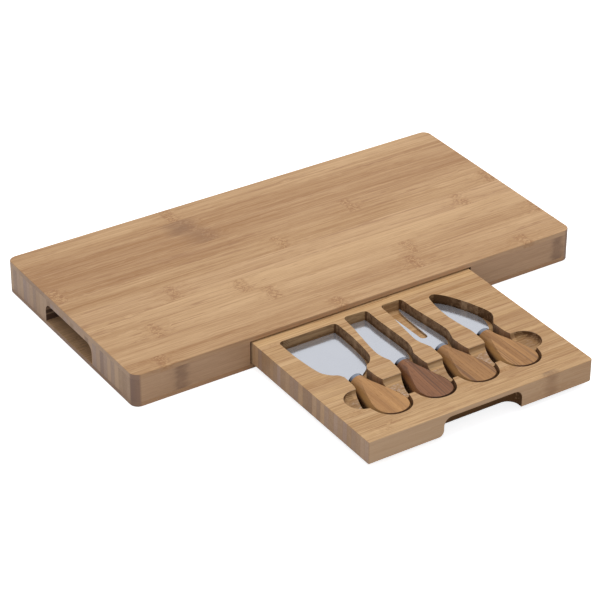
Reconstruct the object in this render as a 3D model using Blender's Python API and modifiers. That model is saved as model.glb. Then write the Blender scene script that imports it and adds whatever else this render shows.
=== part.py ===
# A laminated bamboo cheese board with a wide drawer in its front edge.
# The drawer is one slab with pockets for four small cheese knives.
# Units are metres and +Z is up. The origin is the middle of the board's underside,
# +X runs along the board and -Y is the way the drawer is pulled.
# The drawer stands pulled out, and the four knives lie in their pockets.

import math

import bmesh
import bpy
from mathutils import Matrix

# Board: a thin panel above and below a core, glued
BOARD_LENGTH = 0.400
BOARD_DEPTH = 0.200
TOP_PANEL_THICKNESS = 0.004
BOTTOM_PANEL_THICKNESS = 0.004
CORE_THICKNESS = 0.0194
GLUE_LINE = 0.0003
BOARD_CORNER_RADIUS = 0.007
BOARD_EDGE_EASE = 0.0008

# Finger slots in the two ends, open to the bottom panel
SLOT_WIDTH = 0.073
SLOT_HEIGHT = 0.0157
SLOT_DEPTH = 0.018
SLOT_CORNER_RADIUS = 0.007

# Drawer cavity, open to the front, and the drawer's running clearances in it
CAVITY_WIDTH = 0.202
BACK_RAIL_DEPTH = 0.015
DRAWER_SIDE_CLEARANCE = 0.0015
DRAWER_FLOOR_CLEARANCE = 0.0004
DRAWER_ROOF_CLEARANCE = 0.0011
DRAWER_BACK_CLEARANCE = 0.001
DRAWER_LEFT_CORNER_RADIUS = 0.001
DRAWER_RIGHT_CORNER_RADIUS = 0.003
DRAWER_LOWER_EDGE_RADIUS = 0.0035
DRAWER_EDGE_EASE = 0.0005

# How much of the drawer the cavity still holds
DRAWER_HELD = 0.030

# Finger notch under the drawer's front edge
NOTCH_WIDTH = 0.0692
NOTCH_HEIGHT = 0.0149
NOTCH_DEPTH = 0.0125
NOTCH_CORNER_RADIUS = 0.0066
NOTCH_BACK_CORNER_RADIUS = 0.009
NOTCH_FLARE_RADIUS = 0.005

# Row of knives
KNIFE_COUNT = 4
KNIFE_PITCH = 0.0384
HANDLE_END_FROM_FRONT = 0.0192
SEAT_GAP = 0.0003
KNIFE_TOP_DEPTH = 0.0003

# Turned handles, flat on two sides
HANDLE_LENGTH = 0.0569
HANDLE_WIDTH = 0.0298
HANDLE_THICKNESS = 0.0146
SPIGOT_LENGTH = 0.0023

# Steel ferrules and blades
FERRULE_RADIUS = 0.0067
FERRULE_LENGTH = 0.0032
FERRULE_WALL = 0.0006
FERRULE_EASE = 0.0004
BLADE_THICKNESS = 0.0013
BLADE_NECK_WIDTH = 0.0116
TANG_WIDTH = 0.005
TANG_LENGTH = 0.022
FIT_GAP = 0.0003

CLEAVER_WIDTH = 0.0474
CLEAVER_LENGTH = 0.0626
SPREADER_WIDTH = 0.0241
SPREADER_LENGTH = 0.0657
FORK_WIDTH = 0.0244
FORK_LENGTH = 0.0647
FORK_SLOT_WIDTH = 0.0064
SLICER_WIDTH = 0.0272
SLICER_LENGTH = 0.0572
BLADE_CORNER_RADIUS = 0.0015

# Pockets
BLADE_SIDE_CLEARANCE = 0.0018
BLADE_END_CLEARANCE = 0.0018
BLADE_POCKET_DEPTH = 0.0089
POCKET_CORNER_RADIUS = 0.0045
SLICER_POCKET_CORNER_RADIUS = 0.0035
HANDLE_SIDE_CLEARANCE = 0.0025
HANDLE_END_CLEARANCE = 0.0009
NECK_SIDE_CLEARANCE = 0.0034
NECK_END_CLEARANCE = 0.0022
CHANNEL_RADIUS = 0.0129
CHANNEL_DEPTH = 0.0053
CHANNEL_FLOOR_RADIUS = 0.0048
CHANNEL_ALONG_HANDLE_SHARE = 0.5114
CHANNEL_OVERREACH = 0.0155

# How far a cutter reaches past the face that it opens
CUT_OVERRUN = 0.010

# The spreader lies slightly askew, in radians
SPREADER_LEAN = math.radians(3.2)

# Outlines, each from the neck to the far end: share of half the width, share of the length
CLEAVER_SHARES = [(0.34, 0.035), (0.44, 0.073), (0.57, 0.105), (0.71, 0.155), (0.82, 0.22),
                  (0.89, 0.31), (0.94, 0.43), (0.98, 0.61), (1.0, 0.80), (1.0, 1.0)]
CLEAVER_POCKET_SHARES = [(0.41, 0.0), (0.49, 0.054), (0.63, 0.088), (0.745, 0.135), (0.843, 0.197),
                         (0.894, 0.275), (0.933, 0.384), (0.973, 0.539), (1.0, 0.725), (1.0, 1.0)]
SPREADER_SHARES = [(0.64, 0.03), (0.80, 0.06), (0.93, 0.12), (1.0, 0.19), (0.995, 0.26),
                   (0.97, 0.345), (0.90, 0.50), (0.82, 0.65), (0.77, 0.76), (0.71, 1.0)]
SPREADER_POCKET_SHARES = [(0.736, 0.0), (0.85, 0.055), (0.94, 0.114), (0.996, 0.188), (0.996, 0.247),
                          (0.975, 0.336), (0.913, 0.484), (0.848, 0.633), (0.80, 0.736), (0.745, 1.0)]
FORK_SHARES = [(0.62, 0.035), (0.80, 0.073), (0.94, 0.127), (1.0, 0.20), (0.975, 0.289),
               (0.926, 0.382), (0.86, 0.505), (0.77, 0.645), (0.72, 0.737), (0.67, 0.87), (0.55, 1.0)]
FORK_POCKET_SHARES = [(0.743, 0.0), (0.857, 0.071), (0.95, 0.124), (1.0, 0.20), (0.979, 0.282),
                      (0.936, 0.373), (0.879, 0.494), (0.80, 0.63), (0.736, 0.766), (0.686, 1.0)]
SLICER_RIGHT_SHARES = [(0.50, 0.03), (0.70, 0.082), (0.88, 0.17), (1.0, 0.275), (1.0, 0.38),
                       (0.89, 0.484), (0.66, 0.624), (0.33, 0.80), (-0.03, 0.93), (-0.37, 1.0)]
SLICER_LEFT_SHARES = [(0.50, 0.03), (0.66, 0.13), (0.765, 0.257), (0.825, 0.38), (0.845, 0.50),
                      (0.795, 0.71), (0.73, 0.816), (0.655, 0.904), (0.53, 0.965)]
SLICER_POCKET_RIGHT_SHARES = [(0.64, 0.0), (0.81, 0.063), (1.0, 0.131), (1.11, 0.20), (1.12, 0.25),
                              (1.065, 0.336), (0.90, 0.472), (0.675, 0.625), (0.42, 0.76),
                              (0.16, 0.88), (-0.16, 0.975), (-0.355, 1.0)]
SLICER_POCKET_LEFT_SHARES = [(0.65, 0.03), (0.725, 0.13), (0.79, 0.25), (0.84, 0.387), (0.86, 0.506),
                             (0.81, 0.71), (0.675, 0.915), (0.55, 0.975)]

# The fork's slot, from its round end to the tips: share of half the blade's width, share of its length
FORK_SLOT_END_SHARE = 0.303
FORK_SLOT_SHARES = [(0.275, 0.46), (0.315, 0.70), (0.35, 0.83), (0.43, 0.95)]

# The handle's outline: share of half the handle's width, share of the length from the ferrule
HANDLE_SHARES = [(0.452, 0.0), (0.473, 0.072), (0.53, 0.172), (0.625, 0.283), (0.738, 0.41),
                 (0.875, 0.55), (0.975, 0.67), (1.0, 0.74), (0.985, 0.795), (0.93, 0.85),
                 (0.80, 0.911), (0.634, 0.952), (0.41, 0.982), (0.20, 0.996), (0.0, 1.0)]

# The handle pocket's outline from the ferrule on: share of half its width, share of its length
HANDLE_POCKET_SHARES = [(0.61, 0.172), (0.684, 0.265), (0.759, 0.34), (0.92, 0.47), (0.983, 0.54),
                        (1.0, 0.60), (0.99, 0.66), (0.96, 0.72), (0.914, 0.78), (0.85, 0.84),
                        (0.72, 0.905), (0.535, 0.955), (0.29, 0.989), (0.0, 1.0)]

# Roundness of the shapes
CORNER_STEPS = 6
CHANNEL_STEPS = 16
FLOOR_SEGMENTS = 4
TURN_STEPS = 24
EASE_SEGMENTS = 2

# Heights of the layers and of the drawer
CORE_BOTTOM = BOTTOM_PANEL_THICKNESS + GLUE_LINE
CORE_TOP = CORE_BOTTOM + CORE_THICKNESS
ROOF_HEIGHT = CORE_TOP + GLUE_LINE
DRAWER_BOTTOM = BOTTOM_PANEL_THICKNESS + DRAWER_FLOOR_CLEARANCE
DRAWER_TOP = ROOF_HEIGHT - DRAWER_ROOF_CLEARANCE
DRAWER_HEIGHT = DRAWER_TOP - DRAWER_BOTTOM

# Places in plan
BOARD_FRONT = -BOARD_DEPTH / 2
CAVITY_BACK = BOARD_DEPTH / 2 - BACK_RAIL_DEPTH
DRAWER_WIDTH = CAVITY_WIDTH - 2 * DRAWER_SIDE_CLEARANCE
DRAWER_DEPTH = CAVITY_BACK - BOARD_FRONT - DRAWER_BACK_CLEARANCE
DRAWER_FRONT = BOARD_FRONT + DRAWER_HELD - DRAWER_DEPTH
MIDDLE_SLOT = (KNIFE_COUNT - 1) / 2
KNIFE_AXIS_HEIGHT = DRAWER_TOP - KNIFE_TOP_DEPTH - HANDLE_THICKNESS / 2
HANDLE_POCKET_DEPTH = KNIFE_TOP_DEPTH + HANDLE_THICKNESS + SEAT_GAP

WELD_DISTANCE = 0.00001
FLAT_ANGLE = math.radians(0.5)
SHARP_ANGLE = math.radians(40)


def clear_scene():
    for old in list(bpy.data.objects):
        bpy.data.objects.remove(old, do_unlink=True)


def new_collection(name):
    collection = bpy.data.collections.new(name)
    bpy.context.scene.collection.children.link(collection)
    return collection


def new_material(name, colour, roughness, metallic=0.0):
    material = bpy.data.materials.new(name)
    material.use_nodes = True
    shader = material.node_tree.nodes["Principled BSDF"]
    shader.inputs["Base Color"].default_value = (*colour, 1.0)
    shader.inputs["Roughness"].default_value = roughness
    shader.inputs["Metallic"].default_value = metallic
    material.diffuse_color = (*colour, 1.0)
    return material


def arc(centre, radius, start, end, steps):
    angles = [start + (end - start) * step / steps for step in range(steps + 1)]
    return [(centre[0] + radius * math.cos(a), centre[1] + radius * math.sin(a)) for a in angles]


def rounded_rectangle(left, right, front, back, radii):
    """Counter-clockwise outline; radii for front left, front right, back right and back left."""
    corners = [(left, front, 1, 1), (right, front, -1, 1), (right, back, -1, -1), (left, back, 1, -1)]
    points = []
    for quarter, ((x, y, toward_x, toward_y), radius) in enumerate(zip(corners, radii)):
        if radius == 0:
            points.append((x, y))
            continue
        start = math.pi + quarter * math.pi / 2
        centre = (x + toward_x * radius, y + toward_y * radius)
        points += arc(centre, radius, start, start + math.pi / 2, CORNER_STEPS)
    return points


def round_corners(points, radius):
    """Swap each sharp outer corner of a counter-clockwise outline for a short round."""
    rounded = []
    for index, corner in enumerate(points):
        before = points[index - 1]
        after = points[(index + 1) % len(points)]
        in_x, in_y = corner[0] - before[0], corner[1] - before[1]
        out_x, out_y = after[0] - corner[0], after[1] - corner[1]
        turn = math.atan2(in_x * out_y - in_y * out_x, in_x * out_x + in_y * out_y)
        if turn < SHARP_ANGLE:
            rounded.append(corner)
            continue
        in_length, out_length = math.hypot(in_x, in_y), math.hypot(out_x, out_y)
        reach = min(radius * math.tan(turn / 2), in_length / 2, out_length / 2)
        start = (corner[0] - in_x / in_length * reach, corner[1] - in_y / in_length * reach)
        end = (corner[0] + out_x / out_length * reach, corner[1] + out_y / out_length * reach)
        for step in range(CORNER_STEPS + 1):
            t = step / CORNER_STEPS
            weights = ((1 - t) ** 2, 2 * t * (1 - t), t ** 2)
            rounded.append(tuple(weights[0] * start[i] + weights[1] * corner[i] + weights[2] * end[i]
                                 for i in (0, 1)))
    return rounded


def scaled(shares, half_width, length, side=1):
    return [(side * half_width * across, length * along) for across, along in shares]


def two_sided(right, left):
    """Closed outline that runs up the right side and back down the left side."""
    return right + left[::-1]


def extruded(name, outline, thickness, place, collection):
    """A closed solid from a flat outline; its lower face lies in the XY plane of place."""
    curve = bpy.data.curves.new(name, "CURVE")
    curve.dimensions = "2D"
    curve.fill_mode = "BOTH"
    curve.extrude = thickness / 2
    spline = curve.splines.new("POLY")
    spline.points.add(len(outline) - 1)
    for point, (x, y) in zip(spline.points, outline):
        point.co = (x, y, 0, 1)
    spline.use_cyclic_u = True
    flat = bpy.data.objects.new(name + "_outline", curve)
    collection.objects.link(flat)
    flat.matrix_world = place @ Matrix.Translation((0, 0, thickness / 2))
    bpy.context.view_layer.update()
    evaluated = flat.evaluated_get(bpy.context.evaluated_depsgraph_get())
    mesh = bpy.data.meshes.new_from_object(evaluated)
    mesh.name = name
    weld(mesh)
    solid = bpy.data.objects.new(name, mesh)
    collection.objects.link(solid)
    solid.matrix_world = flat.matrix_world
    bpy.data.objects.remove(flat, do_unlink=True)
    return solid


def weld(mesh):
    shape = bmesh.new()
    shape.from_mesh(mesh)
    bmesh.ops.remove_doubles(shape, verts=shape.verts, dist=WELD_DISTANCE)
    bmesh.ops.dissolve_limit(shape, angle_limit=FLAT_ANGLE, verts=shape.verts, edges=shape.edges)
    bmesh.ops.recalc_face_normals(shape, faces=shape.faces)
    shape.to_mesh(mesh)
    shape.free()


def block(name, low, high, collection):
    """A box between two corners."""
    centre = [(a + b) / 2 for a, b in zip(low, high)]
    size = [b - a for a, b in zip(low, high)]
    bpy.ops.mesh.primitive_cube_add(size=1)
    box = bpy.context.active_object
    box.name = name
    box.data.name = name
    box.data.transform(Matrix.Diagonal((*size, 1)))
    box.location = centre
    for owner in list(box.users_collection):
        owner.objects.unlink(box)
    collection.objects.link(box)
    return box


def turned(name, profile, collection):
    """A solid turned about the local Z axis from (radius, height) points, top to bottom."""
    mesh = bpy.data.meshes.new(name)
    edges = [(i, i + 1) for i in range(len(profile) - 1)]
    mesh.from_pydata([(radius, 0, height) for radius, height in profile], edges, [])
    solid = bpy.data.objects.new(name, mesh)
    collection.objects.link(solid)
    screw = solid.modifiers.new("turn", "SCREW")
    screw.steps = TURN_STEPS
    screw.render_steps = TURN_STEPS
    screw.use_merge_vertices = True
    screw.merge_threshold = WELD_DISTANCE
    screw.use_smooth_shade = True
    return solid


def ease_edges(solid, width):
    bevel = solid.modifiers.new("ease", "BEVEL")
    bevel.width = width
    bevel.segments = EASE_SEGMENTS
    bevel.limit_method = "ANGLE"
    bevel.angle_limit = SHARP_ANGLE
    bevel.harden_normals = False


def cut(solid, cutter, operation="DIFFERENCE"):
    boolean = solid.modifiers.new(cutter.name, "BOOLEAN")
    boolean.operation = operation
    boolean.object = cutter
    boolean.solver = "EXACT"
    cutter.hide_render = True
    cutter.display_type = "WIRE"


def at(x, y, z, turn=0):
    return Matrix.Translation((x, y, z)) @ Matrix.Rotation(turn, 4, "Z")


def board_outline():
    return rounded_rectangle(-BOARD_LENGTH / 2, BOARD_LENGTH / 2, BOARD_FRONT, BOARD_DEPTH / 2,
                             [BOARD_CORNER_RADIUS] * 4)


def make_panels(parts, wood):
    top = extruded("top_panel", board_outline(), TOP_PANEL_THICKNESS, at(0, 0, ROOF_HEIGHT), parts)
    bottom = extruded("bottom_panel", board_outline(), BOTTOM_PANEL_THICKNESS, at(0, 0, 0), parts)
    for panel in (top, bottom):
        ease_edges(panel, BOARD_EDGE_EASE)
        panel.data.materials.append(wood)


def make_end_block(name, side, parts, cutters, wood):
    """One end of the core; side is -1 for the left end and 1 for the right end."""
    outer = side * BOARD_LENGTH / 2
    inner = side * CAVITY_WIDTH / 2
    left, right = min(outer, inner), max(outer, inner)
    round_left = BOARD_CORNER_RADIUS if side < 0 else 0
    round_right = BOARD_CORNER_RADIUS if side > 0 else 0
    outline = rounded_rectangle(left, right, BOARD_FRONT, BOARD_DEPTH / 2,
                                [round_left, round_right, round_right, round_left])
    end_block = extruded(name, outline, CORE_THICKNESS, at(0, 0, CORE_BOTTOM), parts)
    end_block.data.materials.append(wood)
    cut(end_block, make_slot_cutter(name + "_slot_cut", side, cutters))


def make_slot_cutter(name, side, cutters):
    """The finger slot's outline stands on end and runs in from the end face."""
    low = -CUT_OVERRUN
    outline = rounded_rectangle(-SLOT_WIDTH / 2, SLOT_WIDTH / 2, low, SLOT_HEIGHT,
                                [0, 0, SLOT_CORNER_RADIUS, SLOT_CORNER_RADIUS])
    upright = Matrix.Rotation(math.pi / 2, 4, "Z") @ Matrix.Rotation(math.pi / 2, 4, "X")
    start = BOARD_LENGTH / 2 - SLOT_DEPTH
    if side < 0:
        start = -BOARD_LENGTH / 2 - CUT_OVERRUN
    place = Matrix.Translation((start, 0, CORE_BOTTOM)) @ upright
    return extruded(name, outline, SLOT_DEPTH + CUT_OVERRUN, place, cutters)


def make_back_rail(parts, wood):
    half = CAVITY_WIDTH / 2 - GLUE_LINE
    rail = block("core_back", (-half, CAVITY_BACK, CORE_BOTTOM), (half, BOARD_DEPTH / 2, CORE_TOP), parts)
    rail.data.materials.append(wood)


def make_drawer(parts, cutters, wood):
    half = DRAWER_WIDTH / 2
    outline = rounded_rectangle(-half, half, 0, DRAWER_DEPTH,
                                [DRAWER_LEFT_CORNER_RADIUS, DRAWER_RIGHT_CORNER_RADIUS, 0, 0])
    drawer = extruded("drawer", outline, DRAWER_HEIGHT, at(0, DRAWER_FRONT, DRAWER_BOTTOM), parts)
    drawer.data.materials.append(wood)
    ease_edges(drawer, DRAWER_EDGE_EASE)
    cut(drawer, make_channel_cutter(cutters))
    cut(drawer, make_notch_cutter(cutters))
    cut(drawer, make_notch_flare_cutter(cutters))
    cut(drawer, make_lower_edge_cutter(cutters))
    return drawer


def make_channel_cutter(cutters):
    """A shallow trough with round ends and a coved floor, across the whole row of handles."""
    reach = MIDDLE_SLOT * KNIFE_PITCH + CHANNEL_OVERREACH
    right = arc((reach, 0), CHANNEL_RADIUS, -math.pi / 2, math.pi / 2, CHANNEL_STEPS)
    left = arc((-reach, 0), CHANNEL_RADIUS, math.pi / 2, 3 * math.pi / 2, CHANNEL_STEPS)
    from_front = HANDLE_END_FROM_FRONT + HANDLE_LENGTH * CHANNEL_ALONG_HANDLE_SHARE
    place = at(0, DRAWER_FRONT + from_front, DRAWER_TOP - CHANNEL_DEPTH)
    channel = extruded("channel_cut", right + left, CHANNEL_DEPTH + CUT_OVERRUN, place, cutters)
    cove = channel.modifiers.new("cove", "BEVEL")
    cove.width = min(CHANNEL_FLOOR_RADIUS, CHANNEL_DEPTH)
    cove.segments = FLOOR_SEGMENTS
    cove.limit_method = "ANGLE"
    cove.angle_limit = SHARP_ANGLE
    return channel


def make_notch_cutter(cutters):
    """Rounded at its upper corners as seen from the front, and at its back corners in plan."""
    half = NOTCH_WIDTH / 2
    front_view = rounded_rectangle(-half, half, -CUT_OVERRUN, NOTCH_HEIGHT,
                                   [0, 0, NOTCH_CORNER_RADIUS, NOTCH_CORNER_RADIUS])
    upright = Matrix.Rotation(math.pi / 2, 4, "X")
    back = Matrix.Translation((0, DRAWER_FRONT + NOTCH_DEPTH, DRAWER_BOTTOM))
    notch = extruded("notch_cut", front_view, NOTCH_DEPTH + CUT_OVERRUN, back @ upright, cutters)
    back_radius = min(NOTCH_BACK_CORNER_RADIUS, NOTCH_DEPTH)
    plan = rounded_rectangle(-half, half, -CUT_OVERRUN, NOTCH_DEPTH, [0, 0, back_radius, back_radius])
    low = at(0, DRAWER_FRONT, DRAWER_BOTTOM - CUT_OVERRUN)
    cut(notch, extruded("notch_plan", plan, NOTCH_HEIGHT + 2 * CUT_OVERRUN, low, cutters), "INTERSECT")
    return notch


def make_rounding_cutter(name, corner, radius, start, length, cutters):
    """Rounds a lower edge that runs back from start; the round lies to the left of the corner."""
    outline = arc((corner - radius, radius), radius, -math.pi / 2, 0, CORNER_STEPS)
    outline += [(corner + radius, radius), (corner + radius, -radius), (corner - radius, -radius)]
    upright = Matrix.Rotation(math.pi / 2, 4, "X")
    place = Matrix.Translation((0, start + length, DRAWER_BOTTOM)) @ upright
    return extruded(name, outline, length + CUT_OVERRUN, place, cutters)


def make_notch_flare_cutter(cutters):
    """The notch's left foot is rounded outward."""
    return make_rounding_cutter("notch_flare_cut", -NOTCH_WIDTH / 2, NOTCH_FLARE_RADIUS,
                                DRAWER_FRONT, NOTCH_DEPTH, cutters)


def make_lower_edge_cutter(cutters):
    """The drawer's lower right edge is rounded along its whole depth."""
    return make_rounding_cutter("lower_edge_cut", DRAWER_WIDTH / 2, DRAWER_LOWER_EDGE_RADIUS,
                                DRAWER_FRONT, DRAWER_DEPTH + CUT_OVERRUN, cutters)


def knife_place(slot, lean):
    """The middle of the ferrule's face, with the knife's axis along local +Y."""
    across = (slot - MIDDLE_SLOT) * KNIFE_PITCH
    widest_share = max(HANDLE_SHARES)[1]
    belly = HANDLE_LENGTH * (1 - widest_share)
    from_belly = HANDLE_LENGTH + FERRULE_LENGTH - belly
    belly_from_front = HANDLE_END_FROM_FRONT + belly
    x = across + from_belly * math.sin(lean)
    y = DRAWER_FRONT + belly_from_front + from_belly * math.cos(lean)
    return at(x, y, KNIFE_AXIS_HEIGHT, -lean)


def blade_outline(kind):
    """Blade and tang, from the tang's end at -Y to the far edge at +Y."""
    half_neck, half_tang = BLADE_NECK_WIDTH / 2, TANG_WIDTH / 2
    tang = [(half_tang, -TANG_LENGTH), (half_tang, FIT_GAP), (half_neck, FIT_GAP)]
    right = tang + scaled(kind["right"], kind["width"] / 2, kind["length"])
    left = [(-x, y) for x, y in tang] + scaled(kind["left"], kind["width"] / 2, kind["length"], -1)
    return two_sided(right, left + kind["slot"])


def make_blade(name, kind, place, parts, steel):
    outline = round_corners(blade_outline(kind), BLADE_CORNER_RADIUS)
    low = place @ Matrix.Translation((0, 0, -BLADE_THICKNESS / 2))
    blade = extruded(name + "_blade", outline, BLADE_THICKNESS, low, parts)
    blade.data.materials.append(steel)
    return blade


def fork_slot():
    """The open slot between the tines, from the left tip round to the right tip."""
    half, length = FORK_WIDTH / 2, FORK_LENGTH
    radius = FORK_SLOT_WIDTH / 2
    centre = (0, FORK_SLOT_END_SHARE * length + radius)
    left = scaled(FORK_SLOT_SHARES, half, length, -1)
    right = scaled(FORK_SLOT_SHARES, half, length)
    return left[::-1] + arc(centre, radius, math.pi, 2 * math.pi, CORNER_STEPS) + right


def lengthwise(place):
    """Turn a turned solid's Z axis onto the knife's axis."""
    return place @ Matrix.Rotation(-math.pi / 2, 4, "X")


def make_tang_cutter(name, place, cutters):
    half_width = TANG_WIDTH / 2 + FIT_GAP
    half_thickness = BLADE_THICKNESS / 2 + FIT_GAP
    low = (-half_width, -TANG_LENGTH - FIT_GAP, -half_thickness)
    high = (half_width, CUT_OVERRUN, half_thickness)
    slot = block(name + "_tang_cut", low, high, cutters)
    slot.matrix_world = place @ slot.matrix_basis
    return slot


def make_ferrule(name, place, tang_cutter, parts, steel):
    inner = FERRULE_RADIUS - FERRULE_WALL
    profile = [(0, 0), (FERRULE_RADIUS - FERRULE_EASE, 0), (FERRULE_RADIUS, -FERRULE_EASE),
               (FERRULE_RADIUS, -FERRULE_LENGTH), (inner, -FERRULE_LENGTH),
               (inner, -FERRULE_WALL), (0, -FERRULE_WALL)]
    ferrule = turned(name + "_ferrule", profile, parts)
    ferrule.matrix_world = lengthwise(place)
    ferrule.data.materials.append(steel)
    cut(ferrule, tang_cutter)
    return ferrule


def make_handle(name, place, tang_cutter, parts, cutters, wood):
    spigot = FERRULE_RADIUS - FERRULE_WALL - FIT_GAP
    shoulder = -FERRULE_LENGTH - FIT_GAP
    body = [(HANDLE_WIDTH / 2 * across, -FERRULE_LENGTH - HANDLE_LENGTH * along)
            for across, along in HANDLE_SHARES[1:]]
    neck = HANDLE_WIDTH / 2 * HANDLE_SHARES[0][0]
    profile = [(0, shoulder + SPIGOT_LENGTH), (spigot, shoulder + SPIGOT_LENGTH),
               (spigot, shoulder), (neck, shoulder)] + body
    handle = turned(name + "_handle", profile, parts)
    handle.matrix_world = lengthwise(place)
    handle.data.materials.append(wood)
    half_thickness = HANDLE_THICKNESS / 2
    low = (-HANDLE_WIDTH, -FERRULE_LENGTH - HANDLE_LENGTH - CUT_OVERRUN, -half_thickness)
    high = (HANDLE_WIDTH, CUT_OVERRUN, half_thickness)
    flats = block(name + "_flats_cut", low, high, cutters)
    flats.matrix_world = place @ flats.matrix_basis
    cut(handle, flats, "INTERSECT")
    cut(handle, tang_cutter)
    return handle


def make_blade_pocket_cutter(name, kind, place, cutters):
    half = kind["width"] / 2 + BLADE_SIDE_CLEARANCE
    length = kind["length"] + BLADE_END_CLEARANCE
    right = scaled(kind["pocket_right"], half, length)
    left = scaled(kind["pocket_left"], half, length, -1)
    outline = round_corners(two_sided(right, left), kind["pocket_corner"])
    floor = Matrix.Translation((0, 0, DRAWER_TOP - BLADE_POCKET_DEPTH - KNIFE_AXIS_HEIGHT))
    return extruded(name + "_blade_pocket_cut", outline, BLADE_POCKET_DEPTH + CUT_OVERRUN,
                    place @ floor, cutters)


def make_handle_pocket_cutter(name, place, cutters):
    """A deep pocket from just past the ferrule's face to the handle's round end."""
    half_neck = FERRULE_RADIUS + NECK_SIDE_CLEARANCE
    half = HANDLE_WIDTH / 2 + HANDLE_SIDE_CLEARANCE
    length = HANDLE_LENGTH + HANDLE_END_CLEARANCE
    side = [(half_neck, NECK_END_CLEARANCE), (half_neck, -FERRULE_LENGTH)]
    side += [(half * across, -FERRULE_LENGTH - length * along) for across, along in HANDLE_POCKET_SHARES]
    outline = side + [(-x, y) for x, y in side[-2::-1]]
    floor = Matrix.Translation((0, 0, DRAWER_TOP - HANDLE_POCKET_DEPTH - KNIFE_AXIS_HEIGHT))
    return extruded(name + "_handle_pocket_cut", outline, HANDLE_POCKET_DEPTH + CUT_OVERRUN,
                    place @ floor, cutters)


def keep_under(child, parent):
    world = child.matrix_world.copy()
    child.parent = parent
    child.matrix_parent_inverse = parent.matrix_world.inverted()
    child.matrix_world = world


def make_knife(name, slot, lean, kind, drawer, parts, cutters, steel, wood):
    place = knife_place(slot, lean)
    lift = bpy.data.objects.new(name + "_lift", None)
    parts.objects.link(lift)
    lift.matrix_world = place
    tang_cutter = make_tang_cutter(name, place, cutters)
    pieces = [make_blade(name, kind, place, parts, steel),
              make_ferrule(name, place, tang_cutter, parts, steel),
              make_handle(name, place, tang_cutter, parts, cutters, wood)]
    bpy.context.view_layer.update()
    for piece in pieces:
        keep_under(piece, lift)
    keep_under(lift, drawer)
    cut(drawer, make_blade_pocket_cutter(name, kind, place, cutters))
    cut(drawer, make_handle_pocket_cutter(name, place, cutters))


def knife_kinds():
    return {
        "cleaver": {"width": CLEAVER_WIDTH, "length": CLEAVER_LENGTH, "slot": [],
                    "right": CLEAVER_SHARES, "left": CLEAVER_SHARES,
                    "pocket_right": CLEAVER_POCKET_SHARES, "pocket_left": CLEAVER_POCKET_SHARES,
                    "pocket_corner": POCKET_CORNER_RADIUS},
        "spreader": {"width": SPREADER_WIDTH, "length": SPREADER_LENGTH, "slot": [],
                     "right": SPREADER_SHARES, "left": SPREADER_SHARES,
                     "pocket_right": SPREADER_POCKET_SHARES, "pocket_left": SPREADER_POCKET_SHARES,
                     "pocket_corner": POCKET_CORNER_RADIUS},
        "fork": {"width": FORK_WIDTH, "length": FORK_LENGTH, "slot": fork_slot(),
                 "right": FORK_SHARES, "left": FORK_SHARES,
                 "pocket_right": FORK_POCKET_SHARES, "pocket_left": FORK_POCKET_SHARES,
                 "pocket_corner": POCKET_CORNER_RADIUS},
        "slicer": {"width": SLICER_WIDTH, "length": SLICER_LENGTH, "slot": [],
                   "right": SLICER_RIGHT_SHARES, "left": SLICER_LEFT_SHARES,
                   "pocket_right": SLICER_POCKET_RIGHT_SHARES, "pocket_left": SLICER_POCKET_LEFT_SHARES,
                   "pocket_corner": SLICER_POCKET_CORNER_RADIUS},
    }


def shade(collection):
    for solid in collection.objects:
        if solid.type == "MESH":
            solid.data.shade_smooth()
            solid.data.set_sharp_from_angle(angle=SHARP_ANGLE)


def main():
    clear_scene()
    parts = new_collection("cheese_board")
    cutters = new_collection("cheese_board_cutters")
    board_wood = new_material("board_bamboo", (0.55, 0.36, 0.20), 0.5)
    core_wood = new_material("core_bamboo", (0.33, 0.23, 0.16), 0.6)
    drawer_wood = new_material("drawer_bamboo", (0.57, 0.37, 0.19), 0.5)
    light_wood = new_material("light_handle_wood", (0.42, 0.22, 0.09), 0.45)
    dark_wood = new_material("dark_handle_wood", (0.25, 0.11, 0.06), 0.45)
    steel = new_material("satin_steel", (0.62, 0.63, 0.66), 0.3, 1.0)
    make_panels(parts, board_wood)
    make_end_block("core_left", -1, parts, cutters, core_wood)
    make_end_block("core_right", 1, parts, cutters, core_wood)
    make_back_rail(parts, core_wood)
    drawer = make_drawer(parts, cutters, drawer_wood)
    bpy.context.view_layer.update()
    leans = {"spreader": SPREADER_LEAN}
    woods = {"spreader": dark_wood}
    for slot, (name, kind) in enumerate(knife_kinds().items()):
        wood = woods.get(name, light_wood)
        make_knife(name, slot, leans.get(name, 0), kind, drawer, parts, cutters, steel, wood)
    shade(parts)


main()
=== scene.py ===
import math
import random

import bmesh
import bpy
from mathutils import Matrix, Vector


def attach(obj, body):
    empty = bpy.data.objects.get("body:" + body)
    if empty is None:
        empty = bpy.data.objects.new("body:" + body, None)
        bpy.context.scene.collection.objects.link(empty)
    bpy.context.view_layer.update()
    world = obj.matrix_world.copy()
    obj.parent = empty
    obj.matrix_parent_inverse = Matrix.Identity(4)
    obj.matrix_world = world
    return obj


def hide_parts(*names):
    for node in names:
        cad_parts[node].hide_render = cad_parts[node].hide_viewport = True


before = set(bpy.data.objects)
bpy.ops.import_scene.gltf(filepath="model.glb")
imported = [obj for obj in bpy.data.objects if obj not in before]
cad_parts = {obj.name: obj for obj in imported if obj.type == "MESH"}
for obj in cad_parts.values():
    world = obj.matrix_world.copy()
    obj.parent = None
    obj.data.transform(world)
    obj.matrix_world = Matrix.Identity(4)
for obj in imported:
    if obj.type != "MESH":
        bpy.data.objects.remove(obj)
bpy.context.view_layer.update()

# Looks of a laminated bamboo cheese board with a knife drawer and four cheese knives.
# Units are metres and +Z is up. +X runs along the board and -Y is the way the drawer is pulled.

# Board
BOARD_LENGTH = 0.400
BOARD_DEPTH = 0.200
BOARD_HEIGHT = 0.028
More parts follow.
